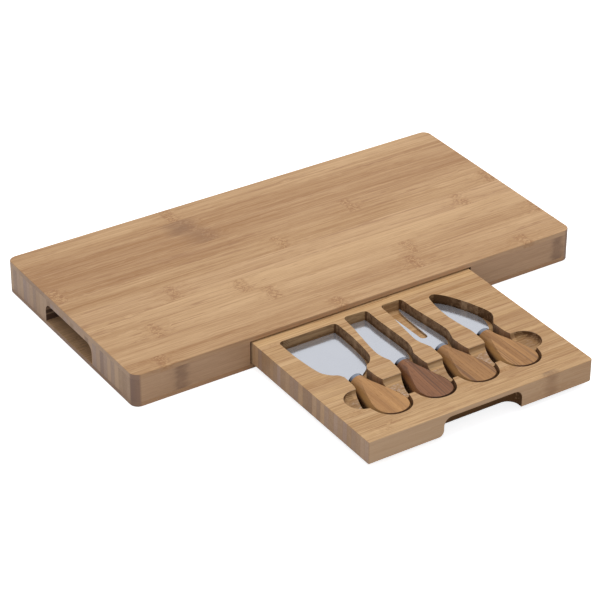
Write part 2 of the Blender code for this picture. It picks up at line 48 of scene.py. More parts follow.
PANEL_THICKNESS = 0.004
BOARD_CORNER_RADIUS = 0.007
BOARD_EDGE_EASE = 0.0008
GLUE_LINE = 0.00004
CAVITY_WIDTH = 0.202
BACK_RAIL_DEPTH = 0.015
SLOT_WIDTH = 0.073
SLOT_HEIGHT = 0.016
SLOT_DEPTH = 0.018
SLOT_CORNER_RADIUS = 0.007

# Drawer
DRAWER_WIDTH = 0.199
DRAWER_DEPTH = 0.184
DRAWER_FRONT = -0.254
DRAWER_BOTTOM = 0.0044
DRAWER_TOP = 0.0229
DRAWER_LEFT_CORNER_RADIUS = 0.001
DRAWER_RIGHT_CORNER_RADIUS = 0.003
DRAWER_LOWER_EDGE_RADIUS = 0.0035
DRAWER_EDGE_EASE = 0.0005
NOTCH_WIDTH = 0.0692
NOTCH_HEIGHT = 0.0149
NOTCH_DEPTH = 0.0125
NOTCH_CORNER_RADIUS = 0.0066
NOTCH_BACK_CORNER_RADIUS = 0.009
NOTCH_FLARE_RADIUS = 0.005

# Knives
KNIFE_PITCH = 0.0384
MIDDLE_SLOT = 1.5
KNIFE_AXIS_HEIGHT = 0.0153
HANDLE_END_FROM_FRONT = 0.0192
HANDLE_LENGTH = 0.0569
HANDLE_WIDTH = 0.0298
HANDLE_THICKNESS = 0.0146
FERRULE_RADIUS = 0.0067
FERRULE_LENGTH = 0.0032
FERRULE_WALL = 0.0006
FERRULE_EASE = 0.0005
BLADE_THICKNESS = 0.0013
BLADE_EDGE_EASE = 0.00018
BLADE_NECK_WIDTH = 0.0116
BLADE_CORNER_RADIUS = 0.0015
FORK_TIP_RADIUS = 0.0004
TANG_WIDTH = 0.005
TANG_LENGTH = 0.022
FIT_GAP = 0.0003
SPREADER_LEAN = math.radians(3.2)
CLEAVER = (0.0474, 0.0626)
SPREADER = (0.0241, 0.0657)
FORK = (0.0244, 0.0647)
SLICER = (0.0272, 0.0572)
FORK_SLOT_WIDTH = 0.0064

# Pockets in the drawer
BLADE_POCKET_CLEARANCE = 0.0018
BLADE_POCKET_DEPTH = 0.0089
POCKET_CORNER_RADIUS = 0.0045
SLICER_POCKET_CORNER_RADIUS = 0.0035
HANDLE_SIDE_CLEARANCE = 0.0025
HANDLE_END_CLEARANCE = 0.0009
HANDLE_POCKET_DEPTH = 0.0152
NECK_SIDE_CLEARANCE = 0.0034
NECK_END_CLEARANCE = 0.0022
CHANNEL_RADIUS = 0.0129
CHANNEL_DEPTH = 0.0053
CHANNEL_FLOOR_RADIUS = 0.0048
CHANNEL_FROM_FRONT = 0.0483
CHANNEL_REACH = 0.0731
CHANNEL_BOTTOM = DRAWER_TOP - CHANNEL_DEPTH
HANDLES_REACH = MIDDLE_SLOT * KNIFE_PITCH + HANDLE_WIDTH / 2
CUT_OVERRUN = 0.010

# Outlines from the neck to the far end: share of half the width, share of the length
CLEAVER_SHARES = [
    (0.34, 0.035), (0.44, 0.073), (0.57, 0.105), (0.71, 0.155), (0.82, 0.22), (0.89, 0.31),
    (0.94, 0.43), (0.98, 0.61), (1.0, 0.8), (1.0, 1.0),
]
CLEAVER_POCKET_SHARES = [
    (0.41, 0.0), (0.49, 0.054), (0.63, 0.088), (0.745, 0.135), (0.843, 0.197), (0.894, 0.275),
    (0.933, 0.384), (0.973, 0.539), (1.0, 0.725), (1.0, 1.0),
]
SPREADER_SHARES = [
    (0.64, 0.03), (0.8, 0.06), (0.93, 0.12), (1.0, 0.19), (0.995, 0.26), (0.97, 0.345), (0.9, 0.5),
    (0.82, 0.65), (0.77, 0.76), (0.71, 1.0),
]
SPREADER_POCKET_SHARES = [
    (0.736, 0.0), (0.85, 0.055), (0.94, 0.114), (0.996, 0.188), (0.996, 0.247), (0.975, 0.336),
    (0.913, 0.484), (0.848, 0.633), (0.8, 0.736), (0.745, 1.0),
]
FORK_SHARES = [
    (0.62, 0.035), (0.8, 0.073), (0.94, 0.127), (1.0, 0.2), (0.975, 0.289), (0.926, 0.382),
    (0.86, 0.505), (0.77, 0.645), (0.72, 0.737), (0.67, 0.87), (0.55, 1.0),
]
FORK_POCKET_SHARES = [
    (0.743, 0.0), (0.857, 0.071), (0.95, 0.124), (1.0, 0.2), (0.979, 0.282), (0.936, 0.373),
    (0.879, 0.494), (0.8, 0.63), (0.736, 0.766), (0.686, 1.0),
]
FORK_SLOT_SHARES = [
    (0.275, 0.46), (0.315, 0.7), (0.35, 0.83), (0.43, 0.95),
]
FORK_SLOT_END_SHARE = 0.303
SLICER_RIGHT_SHARES = [
    (0.5, 0.03), (0.7, 0.082), (0.88, 0.17), (1.0, 0.275), (1.0, 0.38), (0.89, 0.484), (0.66, 0.624),
    (0.33, 0.8), (-0.03, 0.93), (-0.37, 1.0),
]
SLICER_LEFT_SHARES = [
    (0.5, 0.03), (0.66, 0.13), (0.765, 0.257), (0.825, 0.38), (0.845, 0.5), (0.795, 0.71),
    (0.73, 0.816), (0.655, 0.904), (0.53, 0.965),
]
SLICER_POCKET_RIGHT_SHARES = [
    (0.64, 0.0), (0.81, 0.063), (1.0, 0.131), (1.11, 0.2), (1.12, 0.25), (1.065, 0.336), (0.9, 0.472),
    (0.675, 0.625), (0.42, 0.76), (0.16, 0.88), (-0.16, 0.975), (-0.355, 1.0),
]
SLICER_POCKET_LEFT_SHARES = [
    (0.65, 0.03), (0.725, 0.13), (0.79, 0.25), (0.84, 0.387), (0.86, 0.506), (0.81, 0.71),
    (0.675, 0.915), (0.55, 0.975),
]
HANDLE_SHARES = [
    (0.452, 0.0), (0.473, 0.072), (0.53, 0.172), (0.625, 0.283), (0.738, 0.41), (0.875, 0.55),
    (0.975, 0.67), (1.0, 0.74), (0.985, 0.795), (0.93, 0.85), (0.8, 0.911), (0.634, 0.952),
    (0.41, 0.982), (0.2, 0.996), (0.0, 1.0),
]
HANDLE_POCKET_SHARES = [
    (0.61, 0.172), (0.684, 0.265), (0.759, 0.34), (0.92, 0.47), (0.983, 0.54), (1.0, 0.6),
    (0.99, 0.66), (0.96, 0.72), (0.914, 0.78), (0.85, 0.84), (0.72, 0.905), (0.535, 0.955),
    (0.29, 0.989), (0.0, 1.0),
]

# Roundness of the shapes
CORNER_STEPS = 10
CURVE_STEPS = 4
CHANNEL_STEPS = 32
FLOOR_SEGMENTS = 8
TURN_STEPS = 72
HANDLE_RINGS = 56
RING_CROWDING = 2.2
EASE_SEGMENTS = 3
SHARP_ANGLE = math.radians(35)
FLAT_RIM_ANGLE = math.radians(11)
UPENDED = Matrix.Rotation(math.pi / 2, 4, "X")
WELD_DISTANCE = 0.000005

# Finely glued slats
SLAT_WIDTHS = (0.0048, 0.0062)
THINNEST_SLAT = 0.003
SLAT_TONES = (-0.5, 0.55)
KNUCKLE_CHANCE = 0.4
NO_KNUCKLE = 9.0
INSIDE_END = 0.0999

# The top's glued strips, front to back: lower edge, upper edge, tone, coolness, knuckles, smudge
TOP_STRIPS = [
    (-0.1000, -0.0850, 0.06, 0.1, (-0.172, -0.018, 0.157), 0.0),
    (-0.0850, -0.0645, 0.02, 0.2, (0.065,), 0.0),
    (-0.0645, -0.0440, -0.02, 0.1, (-0.155, -0.053, 0.075, 0.199), 0.0),
    (-0.0440, -0.0240, -0.20, 0.0, (-0.067,), 0.0),
    (-0.0240, -0.0035, -0.06, 0.4, (-0.117, 0.153), 0.0),
    (-0.0035, 0.0165, 0.10, 0.0, (-0.007, 0.195), 0.0),
    (0.0165, 0.0380, 0.16, 0.2, (-0.194, 0.072), 0.0),
    (0.0380, 0.0580, 0.32, 0.3, (-0.048,), 0.5),
    (0.0580, 0.0790, 0.26, 0.2, (-0.055,), 0.8),
    (0.0790, 0.1000, 0.00, 0.0, (-0.060,), 0.0),
]
BOTTOM_TONE = 0.45

# Slats with a look of their own: a place in the slat, tone, coolness, and maybe knuckles and smudge
END_BLOCK_SLATS = [
    (INSIDE_END, 0.1, 0.3), (-0.075, -0.9, 0.0), (-0.069, 0.1, 0.6), (-0.0625, -0.9, 0.1),
    (0.046, -0.8, 0.1), (0.052, 0.2, 0.6), (0.074, -0.6, 0.1),
]
# On the drawer, the darker tones from -0.188 to -0.116 are partly painted shade along its side near the
# board, and the pale last two are painted light at its back
DRAWER_SLATS_WITH_PAINTED_LIGHT = [
    (-0.2539, -0.3, 0.6, (0.061,), 0.6), (-0.239, 0.2, 0.3, (-0.070,), 0.0),
    (-0.218, 0.2, 0.3, (-0.086,), 0.0), (-0.195, -0.4, 0.0), (-0.188, 0.7, 0.8), (-0.183, 0.0, 0.2),
    (-0.177, 1.0, 1.0), (-0.171, 0.9, 0.5), (-0.165, 0.0, 0.0), (-0.158, 0.6, 0.9), (-0.152, 0.5, 0.6),
    (-0.146, 0.3, 0.1), (-0.140, 0.5, 0.2), (-0.134, 0.6, 0.4), (-0.128, 0.4, 0.0), (-0.122, 0.7, 0.1),
    (-0.116, 0.8, 0.1), (-0.108, -0.8, 0.1), (-0.103, -1.0, 0.0),
]

# Which faces the router left: how near a face's middle lies to a plane or a cut's lip, how deep the
# drawer's own outer faces reach in, and how squarely a face looks one way
TOUCH = 0.0002
LIP = 0.0005
SIDE_SKIN, END_SKIN, TOP_SKIN = 0.004, 0.0015, 0.0003
FACING = 0.9
LEVEL = 0.97

# How dark router burn and painted shade leave them, from 0, bare, to 3, nearly black
# The cavity, slot, notch, pocket corners, deeper floors and lower handle pockets get painted shade alone
CAVITY_PAINTED_SHADE = 2.0
SLOT_END_PAINTED_SHADE = 2.8
SLOT_SIDE_PAINTED_SHADE = 1.3
NOTCH_PAINTED_SHADE = 3.0
CHANNEL_WALL_BURN_AND_SHADE = 1.2
LEFT_WELL_BURN_AND_SHADE, RIGHT_WELL_BURN_AND_SHADE = 0.5, 0.75
# How strong a painted glint the right well's floor gets
RIGHT_WELL_GLINT = 0.35
NECK_FROM = 0.6
NECK_BURN_AND_SHADE, NECK_LOWER_PAINTED_SHADE, NECK_UPPER_BAND = 0.45, 1.2, 0.008
BELLY_BURN_AND_SHADE, BELLY_LOWER_PAINTED_SHADE, BELLY_UPPER_BAND = 1.0, 1.6, 0.006
LOWER_SHADE_FADE = 0.006
POCKET_FRONT_BURN_AND_SHADE, POCKET_SIDE_BURN_AND_SHADE, POCKET_CORNER_PAINTED_SHADE = 1.15, 0.85, 1.2
POCKET_CORNERS_FROM = 0.128
DEEP_FLOOR_PAINTED_SHADE = 0.8
# Marks the floors that get painted light
PAINTED_LIT_FLOOR = -1.0

# The board's bamboo: its colours, and how much each mark shows
BOARD_BAMBOO = {
    "Light": (0.655, 0.425, 0.228), "Dark": (0.365, 0.187, 0.076), "Line": (0.31, 0.145, 0.065),
    "Knuckle": (0.40, 0.205, 0.080), "Smudge": (0.27, 0.145, 0.075), "Blush": (0.56, 0.35, 0.22),
    "Side Grain": (0.49, 0.335, 0.22), "End Grain": (0.47, 0.325, 0.225),
    "Cool End Grain": (0.42, 0.315, 0.265), "Dark End Grain": (0.25, 0.155, 0.11),
    # The darkest brown here is router burn and painted shade, the pale orange is painted light on the
    # floors inside the slots, and the pale pinkish one is a painted glint on the channel's floors
    "Burn And Shade": (0.115, 0.055, 0.021), "Painted Floor Light": (0.90, 0.56, 0.30), "Painted Glint": (0.60, 0.46, 0.38),
    "Fibre Contrast": 1.0, "Tone Contrast": 1.0, "Drift": -0.3, "Side Drift": 0.0,
    "Line Strength": 0.55, "Line Slant": 0.003, "Knuckle Strength": 1.0, "Seam Strength": 0.2,
    "Blush Strength": 0.2, "Side Grain Strength": 0.6, "End Grain Strength": 0.7,
    "Burn And Shade Strength": 0.46, "Corner Strength": 0.85, "Stain Offset": 0.006, "Stain Reach": 0.022,
    "Base Roughness": 0.45,
}
# Where the core and the drawer differ from it
CORE_BAMBOO = {
    "Light": (0.60, 0.41, 0.25), "Dark": (0.34, 0.20, 0.105), "Line": (0.28, 0.15, 0.08),
    "Knuckle": (0.24, 0.135, 0.075), "Smudge": (0.17, 0.105, 0.07), "Blush": (0.55, 0.38, 0.28),
    "Side Grain": (0.69, 0.445, 0.268), "End Grain": (0.475, 0.315, 0.20),
    "Cool End Grain": (0.375, 0.27, 0.235), "Dark End Grain": (0.21, 0.125, 0.09),
    # Its darkest brown is router burn and painted shade
    "Burn And Shade": (0.08, 0.042, 0.026), "Drift": 0.0, "Line Strength": 0.35, "Line Slant": 0.01,
    "Seam Strength": 0.35, "Blush Strength": 0.3, "Stain Offset": 0.0, "Stain Reach": 0.009,
}
DRAWER_BAMBOO = {
    "Light": (0.68, 0.445, 0.225), "Dark": (0.38, 0.200, 0.080), "Line": (0.33, 0.155, 0.06),
    "Knuckle": (0.42, 0.22, 0.09), "Smudge": (0.20, 0.125, 0.08), "Blush": (0.60, 0.40, 0.26),
    "Side Grain": (0.69, 0.545, 0.39), "End Grain": (0.46, 0.29, 0.17),
    "Cool End Grain": (0.33, 0.235, 0.22), "Dark End Grain": (0.26, 0.155, 0.095),
    "Tone Contrast": 0.35, "Drift": 0.9, "Side Drift": 2.0, "Line Strength": 0.7, "Line Slant": 0.014,
    "Knuckle Strength": 0.6, "Seam Strength": 0.45, "Blush Strength": 0.12, "Corner Strength": 0.3,
    "Stain Offset": 0.0, "Stain Reach": 0.009,
}
BAMBOO_GLOSS = 0.25

# The handles' woods and the ferrules' steel
# Each wood's edge colour is painted shade on the turned sides, and its belly colour painted light on
# their steepest parts
WOODS = {
    "cleaver": {"Light": (0.56, 0.295, 0.11), "Dark": (0.35, 0.162, 0.053), "Vein": (0.13, 0.06, 0.03),
                "Crease Shade": (0.36, 0.18, 0.06), "Belly Light": (0.60, 0.335, 0.12), "Vein Strength": 0.2},
    "spreader": {"Light": (0.29, 0.120, 0.048), "Dark": (0.14, 0.054, 0.021), "Vein": (0.06, 0.03, 0.02),
                 "Crease Shade": (0.17, 0.066, 0.024), "Belly Light": (0.30, 0.13, 0.045)},
    "fork": {"Light": (0.46, 0.235, 0.085), "Dark": (0.26, 0.115, 0.037), "Vein": (0.10, 0.045, 0.025),
             "Crease Shade": (0.30, 0.145, 0.048), "Belly Light": (0.52, 0.28, 0.10)},
    "slicer": {"Light": (0.53, 0.275, 0.10), "Dark": (0.29, 0.133, 0.042), "Vein": (0.11, 0.05, 0.03),
               "Crease Shade": (0.34, 0.17, 0.055), "Belly Light": (0.56, 0.31, 0.11)},
}
WOOD_GLOSS = 0.3
BLADE_METALLIC = 0.78
# The ferrules' dull colour is a painted dark reflection on their upright sides
FERRULE_STEEL = {"Light": (0.27, 0.30, 0.37), "Dark": (0.19, 0.21, 0.26), "Dark Reflection": (0.045, 0.045, 0.055),
                 "Dark Reflection Strength": 0.9, "Base Roughness": 0.2}

# How deep the grain and the brushing are
BOARD_GRAIN_DEPTH = 0.00006
DRAWER_GRAIN_DEPTH = 0.00007
WOOD_GRAIN_DEPTH = 0.00005
BLADE_BRUSH_DEPTH = 0.00002
FERRULE_BRUSH_DEPTH = 0.000001

# Studio. The lamps' place, size, power and colour
LAMPS = {
    "overhead": ((0.35, 0.15, 2.1), (1.5, 1.5), 25.5, (1.0, 0.955, 0.89)),
    "front fill": ((-1.15, -1.95, 0.34), (2.2, 0.6), 5.0, (1.0, 0.97, 0.93)),
}
LAMPS_AIM = (0, -0.08, 0.01)
SKY_COLOUR = (0.93, 0.97, 1.05)
SKY_STRENGTH = 0.5
FLOOR_REACH = 4.0
FLOOR_GAP = 0.0001
FLOOR_COLOUR = (0.85, 0.85, 0.85)
FLOOR_GLOW = 0.8

# Photograph's view
AZIMUTH = math.radians(-32.95)
ELEVATION = math.radians(31.49)
ROLL = math.radians(0.21)
DISTANCE = 1.936
ACROSS = 0.0063
UPWARD = -0.0209
LENS = 146.4
SENSOR_WIDTH = 36.0


def smoothed(points):
    """A smooth open line through the points."""
    first = tuple(2 * a - b for a, b in zip(points[0], points[1]))
    last = tuple(2 * a - b for a, b in zip(points[-1], points[-2]))
    padded = [first] + list(points) + [last]
    line = []
    for index in range(1, len(padded) - 2):
        near = padded[index - 1:index + 3]
        for step in range(CURVE_STEPS):
            t = step / CURVE_STEPS
            line.append(tuple(0.5 * (2 * b + (c - a) * t + (2 * a - 5 * b + 4 * c - d) * t ** 2
                                     + (3 * b - a - 3 * c + d) * t ** 3)
                              for a, b, c, d in zip(*near)))
    line.append(tuple(points[-1]))
    return line


def arc(centre, radius, start, end, steps):
    angles = [start + (end - start) * step / steps for step in range(steps + 1)]
    return [(centre[0] + radius * math.cos(a), centre[1] + radius * math.sin(a)) for a in angles]


def rounded_rectangle(left, right, front, back, radii):
    """Counter-clockwise outline; radii for front left, front right, back right and back left."""
    corners = [(left, front, 1, 1), (right, front, -1, 1), (right, back, -1, -1), (left, back, 1, -1)]
    points = []
    for quarter, ((x, y, toward_x, toward_y), radius) in enumerate(zip(corners, radii)):
        if radius == 0:
            points.append((x, y))
            continue
        start = math.pi + quarter * math.pi / 2
        points += arc((x + toward_x * radius, y + toward_y * radius), radius, start,
                      start + math.pi / 2, CORNER_STEPS)
    return points


def shortened(line, length):
    """The line without its last stretch of that length."""
    line = list(line)
    while len(line) > 2:
        step = math.dist(line[-1], line[-2])
        if step > length:
            break
        length -= step
        line.pop()
    share = min(length / math.dist(line[-1], line[-2]), 0.9)
    line[-1] = tuple(a + (b - a) * share for a, b in zip(line[-1], line[-2]))
    return line


def chained(runs, radius):
    """One line from runs that meet end to end, with a round where two of them meet."""
    line = list(runs[0])
    for run in runs[1:]:
        corner = run[0]
        into = Vector(corner) - Vector(line[-2])
        out = Vector(run[1]) - Vector(corner)
        reach = radius * math.tan(into.angle(out) / 2)
        line = shortened(line, reach)
        rest = shortened(list(run)[::-1], reach)[::-1]
        start, end = line[-1], rest[0]
        for step in range(1, CORNER_STEPS):
            t = step / CORNER_STEPS
            line.append(tuple((1 - t) ** 2 * a + 2 * t * (1 - t) * b + t ** 2 * c
                              for a, b, c in zip(start, corner, end)))
        line += rest
    return line


def scaled(shares, size, side=1):
    half = size[0] / 2
    return [(side * half * across, size[1] * along) for across, along in shares]


def leaf(right_shares, left_shares, size, radius):
    """An outline up the right side, over the far end and down the left side."""
    right = smoothed(scaled(right_shares, size))
    left = smoothed(scaled(left_shares, size, -1))[::-1]
    return chained([right, [right[-1], left[0]], left], radius)


def fork_outline():
    half, length = FORK[0] / 2, FORK[1]
    radius = FORK_SLOT_WIDTH / 2
    centre = (0, FORK_SLOT_END_SHARE * length + radius)
    round_end = arc(centre, radius, 0, -math.pi, 2 * CORNER_STEPS)
    right_side = smoothed([(half * a, length * b) for a, b in FORK_SLOT_SHARES[::-1]] + [round_end[0]])
    left_side = [(-x, y) for x, y in right_side[::-1]]
    inner = right_side + round_end[1:-1] + left_side
    right = smoothed(scaled(FORK_SHARES, FORK))
    left = [(-x, y) for x, y in right[::-1]]
    return chained([right, [right[-1], inner[0]], inner, [inner[-1], left[0]], left], FORK_TIP_RADIUS)


def new_piece(name, data):
    piece = bpy.data.objects.new(name, data)
    bpy.context.scene.collection.objects.link(piece)
    return piece


def solid(name, shape, place=None):
    """A piece from the bmesh, with its doubles merged and its faces turned outwards."""
    bmesh.ops.remove_doubles(shape, verts=shape.verts, dist=WELD_DISTANCE)
    bmesh.ops.recalc_face_normals(shape, faces=shape.faces)
    if place:
        bmesh.ops.transform(shape, matrix=place, verts=shape.verts)
    mesh = bpy.data.meshes.new(name)
    shape.to_mesh(mesh)
    shape.free()
    return new_piece(name, mesh)


def slab(name, outline, low, high, place=None):
    """A closed solid from a flat counter-clockwise outline, from height low to height high."""
    shape = bmesh.new()
    base = shape.faces.new([shape.verts.new((x, y, low)) for x, y in outline])
    top = bmesh.ops.extrude_face_region(shape, geom=[base])["geom"]
    bmesh.ops.translate(shape, verts=[v for v in top if isinstance(v, bmesh.types.BMVert)],
                        vec=(0, 0, high - low))
    return solid(name, shape, place)


def applied(piece):
    """Turn what the modifiers make of the piece into its own mesh."""
    bpy.context.view_layer.update()
    result = piece.evaluated_get(bpy.context.evaluated_depsgraph_get())
    mesh = bpy.data.meshes.new_from_object(result)
    mesh.name = piece.name
    old = piece.data
    piece.modifiers.clear()
    piece.data = mesh
    bpy.data.meshes.remove(old)
    return piece


def eased(piece, width, segments=EASE_SEGMENTS, angle=SHARP_ANGLE):
    bevel = piece.modifiers.new("ease", "BEVEL")
    bevel.width = width
    bevel.segments = segments
    bevel.limit_method = "ANGLE"
    bevel.angle_limit = angle
    return applied(piece)


def eased_rim(piece, height, width):
    """Ease the outline's edge at one height only, so that the glued side stays tight."""
    shape = bmesh.new()
    shape.from_mesh(piece.data)
    rim = [edge for edge in shape.edges if all(abs(v.co.z - height) < WELD_DISTANCE for v in edge.verts)]
    bmesh.ops.bevel(shape, geom=rim, offset=width, segments=EASE_SEGMENTS, affect="EDGES", profile=0.5)
    bmesh.ops.remove_doubles(shape, verts=shape.verts, dist=WELD_DISTANCE)
    shape.to_mesh(piece.data)
    shape.free()
    return piece


def carved(piece, cutter, operation="DIFFERENCE"):
    """Take the cutter out of the piece, and the cutter out of the scene."""
    boolean = piece.modifiers.new("cut", "BOOLEAN")
    boolean.operation = operation
    boolean.solver = "EXACT"
    boolean.object = cutter
    applied(piece)
    bpy.data.objects.remove(cutter, do_unlink=True)
    return piece


def finished(piece, material, body, node, angle=SHARP_ANGLE):
    """Shade the piece smooth over rounds and flat on broad faces, and give it its finish and place."""
    piece.data.shade_smooth()
    piece.data.set_sharp_from_angle(angle=angle)
    piece.modifiers.new("broad faces flat", "WEIGHTED_NORMAL").keep_sharp = True
    piece.data.materials.clear()
    piece.data.materials.append(material)
    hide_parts(node)
    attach(piece, body)


def random_slats(low, high, seed, reach, overrides=()):
    """Thin slats glued side by side, from low to high, with tones, knuckles and smudges of their own."""
    pick = random.Random(seed)
    slats = []
    edge = low
    while edge < high - WELD_DISTANCE:
        upper = min(edge + pick.uniform(*SLAT_WIDTHS), high)
        if high - upper < THINNEST_SLAT:
            upper = high
        tone = pick.uniform(*SLAT_TONES)
        cool = pick.random()
        knuckles = (pick.uniform(*reach),) if pick.random() < KNUCKLE_CHANCE else ()
        smudge = 0.0
        for near, *own in overrides:
            if edge <= near < upper:
                tone, cool, knuckles, smudge = own if len(own) == 4 else (*own, (), 0.0)
        slats.append((edge, upper, tone, cool, knuckles, smudge))
        edge = upper
    return slats


def lay_slats(piece, slats, seed, burn_and_shade=None):
    """Cut the piece along its glue lines and write each slat's finish on its faces.

    The last argument tells how far a face is darkened by router burn and painted shade, and whether a
    floor gets a painted glint (1) or painted light (-1).
    """
    pick = random.Random(seed)
    shifts = [pick.uniform(-1, 1) for slat in slats]
    shape = bmesh.new()
    shape.from_mesh(piece.data)
    for slat in slats[1:]:
        everything = list(shape.verts) + list(shape.edges) + list(shape.faces)
        bmesh.ops.bisect_plane(shape, geom=everything, dist=WELD_DISTANCE, plane_co=(0, slat[0], 0),
                               plane_no=(0, 1, 0))
    layers = [shape.faces.layers.float_vector.new("slat_" + name)
              for name in ("edges", "marks", "finish", "state")]
    for face in shape.faces:
        middle = face.calc_center_median()
        index = max((i for i, slat in enumerate(slats) if slat[0] <= middle.y), default=0)
        low, high, tone, cool, knuckles, smudge = slats[index]
        marks = (list(knuckles) + [NO_KNUCKLE] * 4)[:4]
        burn_shade_amount, floor = burn_and_shade(middle, face.normal) if burn_and_shade else (0.0, 0.0)
        values = [(low, high, shifts[index]), marks[:3], (tone, marks[3], cool),
                  (burn_shade_amount, smudge, floor)]
        for layer, value in zip(layers, values):
            face[layer] = value
    shape.to_mesh(piece.data)
    shape.free()
    return piece


class Value:
    """A node's output, for plain sums such as (a + b) * 0.5, each of which adds a Math node."""

    def __init__(self, recipe, socket):
        self.recipe, self.socket = recipe, socket

    def __add__(self, other):
        return self.recipe.math("ADD", self, other)

    def __sub__(self, other):
        return self.recipe.math("SUBTRACT", self, other)

    def __rsub__(self, other):
        return self.recipe.math("SUBTRACT", other, self)

    def __mul__(self, other):
        return self.recipe.math("MULTIPLY", self, other)

    def __truediv__(self, other):
        return self.recipe.math("DIVIDE", self, other)

    def __pow__(self, other):
        return self.recipe.math("POWER", self, other)

    def __abs__(self):
        return self.recipe.math("ABSOLUTE", self, 0.0)


def smaller(a, b):
    return a.recipe.math("MINIMUM", a, b)


def larger(a, b):
    return a.recipe.math("MAXIMUM", a, b)


def clamped(value):
    """Keep the sum between 0 and 1."""
    value.socket.node.use_clamp = True
    return value


class Recipe:
    """Adds nodes to one tree and links them. A colour is given as red, green and blue."""

    def __init__(self, tree):
        self.tree = tree

    def put(self, socket, value):
        if isinstance(value, Value):
            self.tree.links.new(value.socket, socket)
        else:
            socket.default_value = (*value, 1.0) if socket.type == "RGBA" else value

    def add(self, kind, values=(), **settings):
        node = self.tree.nodes.new(kind)
        for name, value in settings.items():
            setattr(node, name, value)
        for key, value in dict(values).items():
            self.put(node.inputs[key], value)
        return node

    def outputs(self, kind, values=(), **settings):
        """A new node's outputs by name."""
        node = self.add(kind, values, **settings)
        return {socket.name: Value(self, socket) for socket in node.outputs}

    def output(self, kind, values=(), index=0, **settings):
        """One output of a new node, mostly the first."""
        return Value(self, self.add(kind, values, **settings).outputs[index])

    def math(self, operation, a, b):
        return self.output("ShaderNodeMath", {0: a, 1: b}, operation=operation)

    def ramp(self, value, low, high, to_low=0.0, to_high=1.0):
        """A smooth change from to_low at low to to_high at high."""
        return self.output("ShaderNodeMapRange", {
            "Value": value, "From Min": low, "From Max": high, "To Min": to_low, "To Max": to_high},
            interpolation_type="SMOOTHSTEP")

    def fall(self, value, low, high):
        return self.ramp(value, low, high, 1.0, 0.0)

    def mix(self, share, a, b):
        return self.output("ShaderNodeMix", {0: share, 6: a, 7: b}, 2, data_type="RGBA")

    def vector(self, x, y, z):
        return self.output("ShaderNodeCombineXYZ", {0: x, 1: y, 2: z})

    def parts(self, vector):
        return self.outputs("ShaderNodeSeparateXYZ", {0: vector}).values()

    def attribute(self, name):
        return self.parts(self.outputs("ShaderNodeAttribute", attribute_name=name)["Vector"])

    def noise(self, vector, stretch, detail=2.0, roughness=0.5, distortion=0.0):
        """Noise that is finer by stretch along X, Y and Z."""
        stretched = self.output("ShaderNodeVectorMath", {0: vector, 1: stretch}, operation="MULTIPLY")
        return self.output("ShaderNodeTexNoise", {
            "Vector": stretched, "Scale": 1.0, "Detail": detail, "Roughness": roughness,
            "Distortion": distortion})


def new_tree(name, kind, inputs, outputs):
    """A node tree with named inputs and outputs; returns its recipe and its inputs.

    An input's value tells its kind, or a text names it.
    """
    tree = bpy.data.node_groups.new(name, kind)
    kinds = {float: "NodeSocketFloat", int: "NodeSocketInt", tuple: "NodeSocketColor"}
    for label, value in inputs.items():
        if isinstance(value, str):
            tree.interface.new_socket(label, in_out="INPUT", socket_type=value)
            continue
        socket = tree.interface.new_socket(label, in_out="INPUT", socket_type=kinds[type(value)])
        socket.default_value = (*value, 1.0) if isinstance(value, tuple) else value
    for label, socket_kind in outputs.items():
        tree.interface.new_socket(label, in_out="OUTPUT", socket_type=socket_kind)
    recipe = Recipe(tree)
    return recipe, recipe.outputs("NodeGroupInput")


FINISH_OUTPUTS = {"Color": "NodeSocketColor", "Roughness": "NodeSocketFloat",
                  "Height": "NodeSocketFloat"}


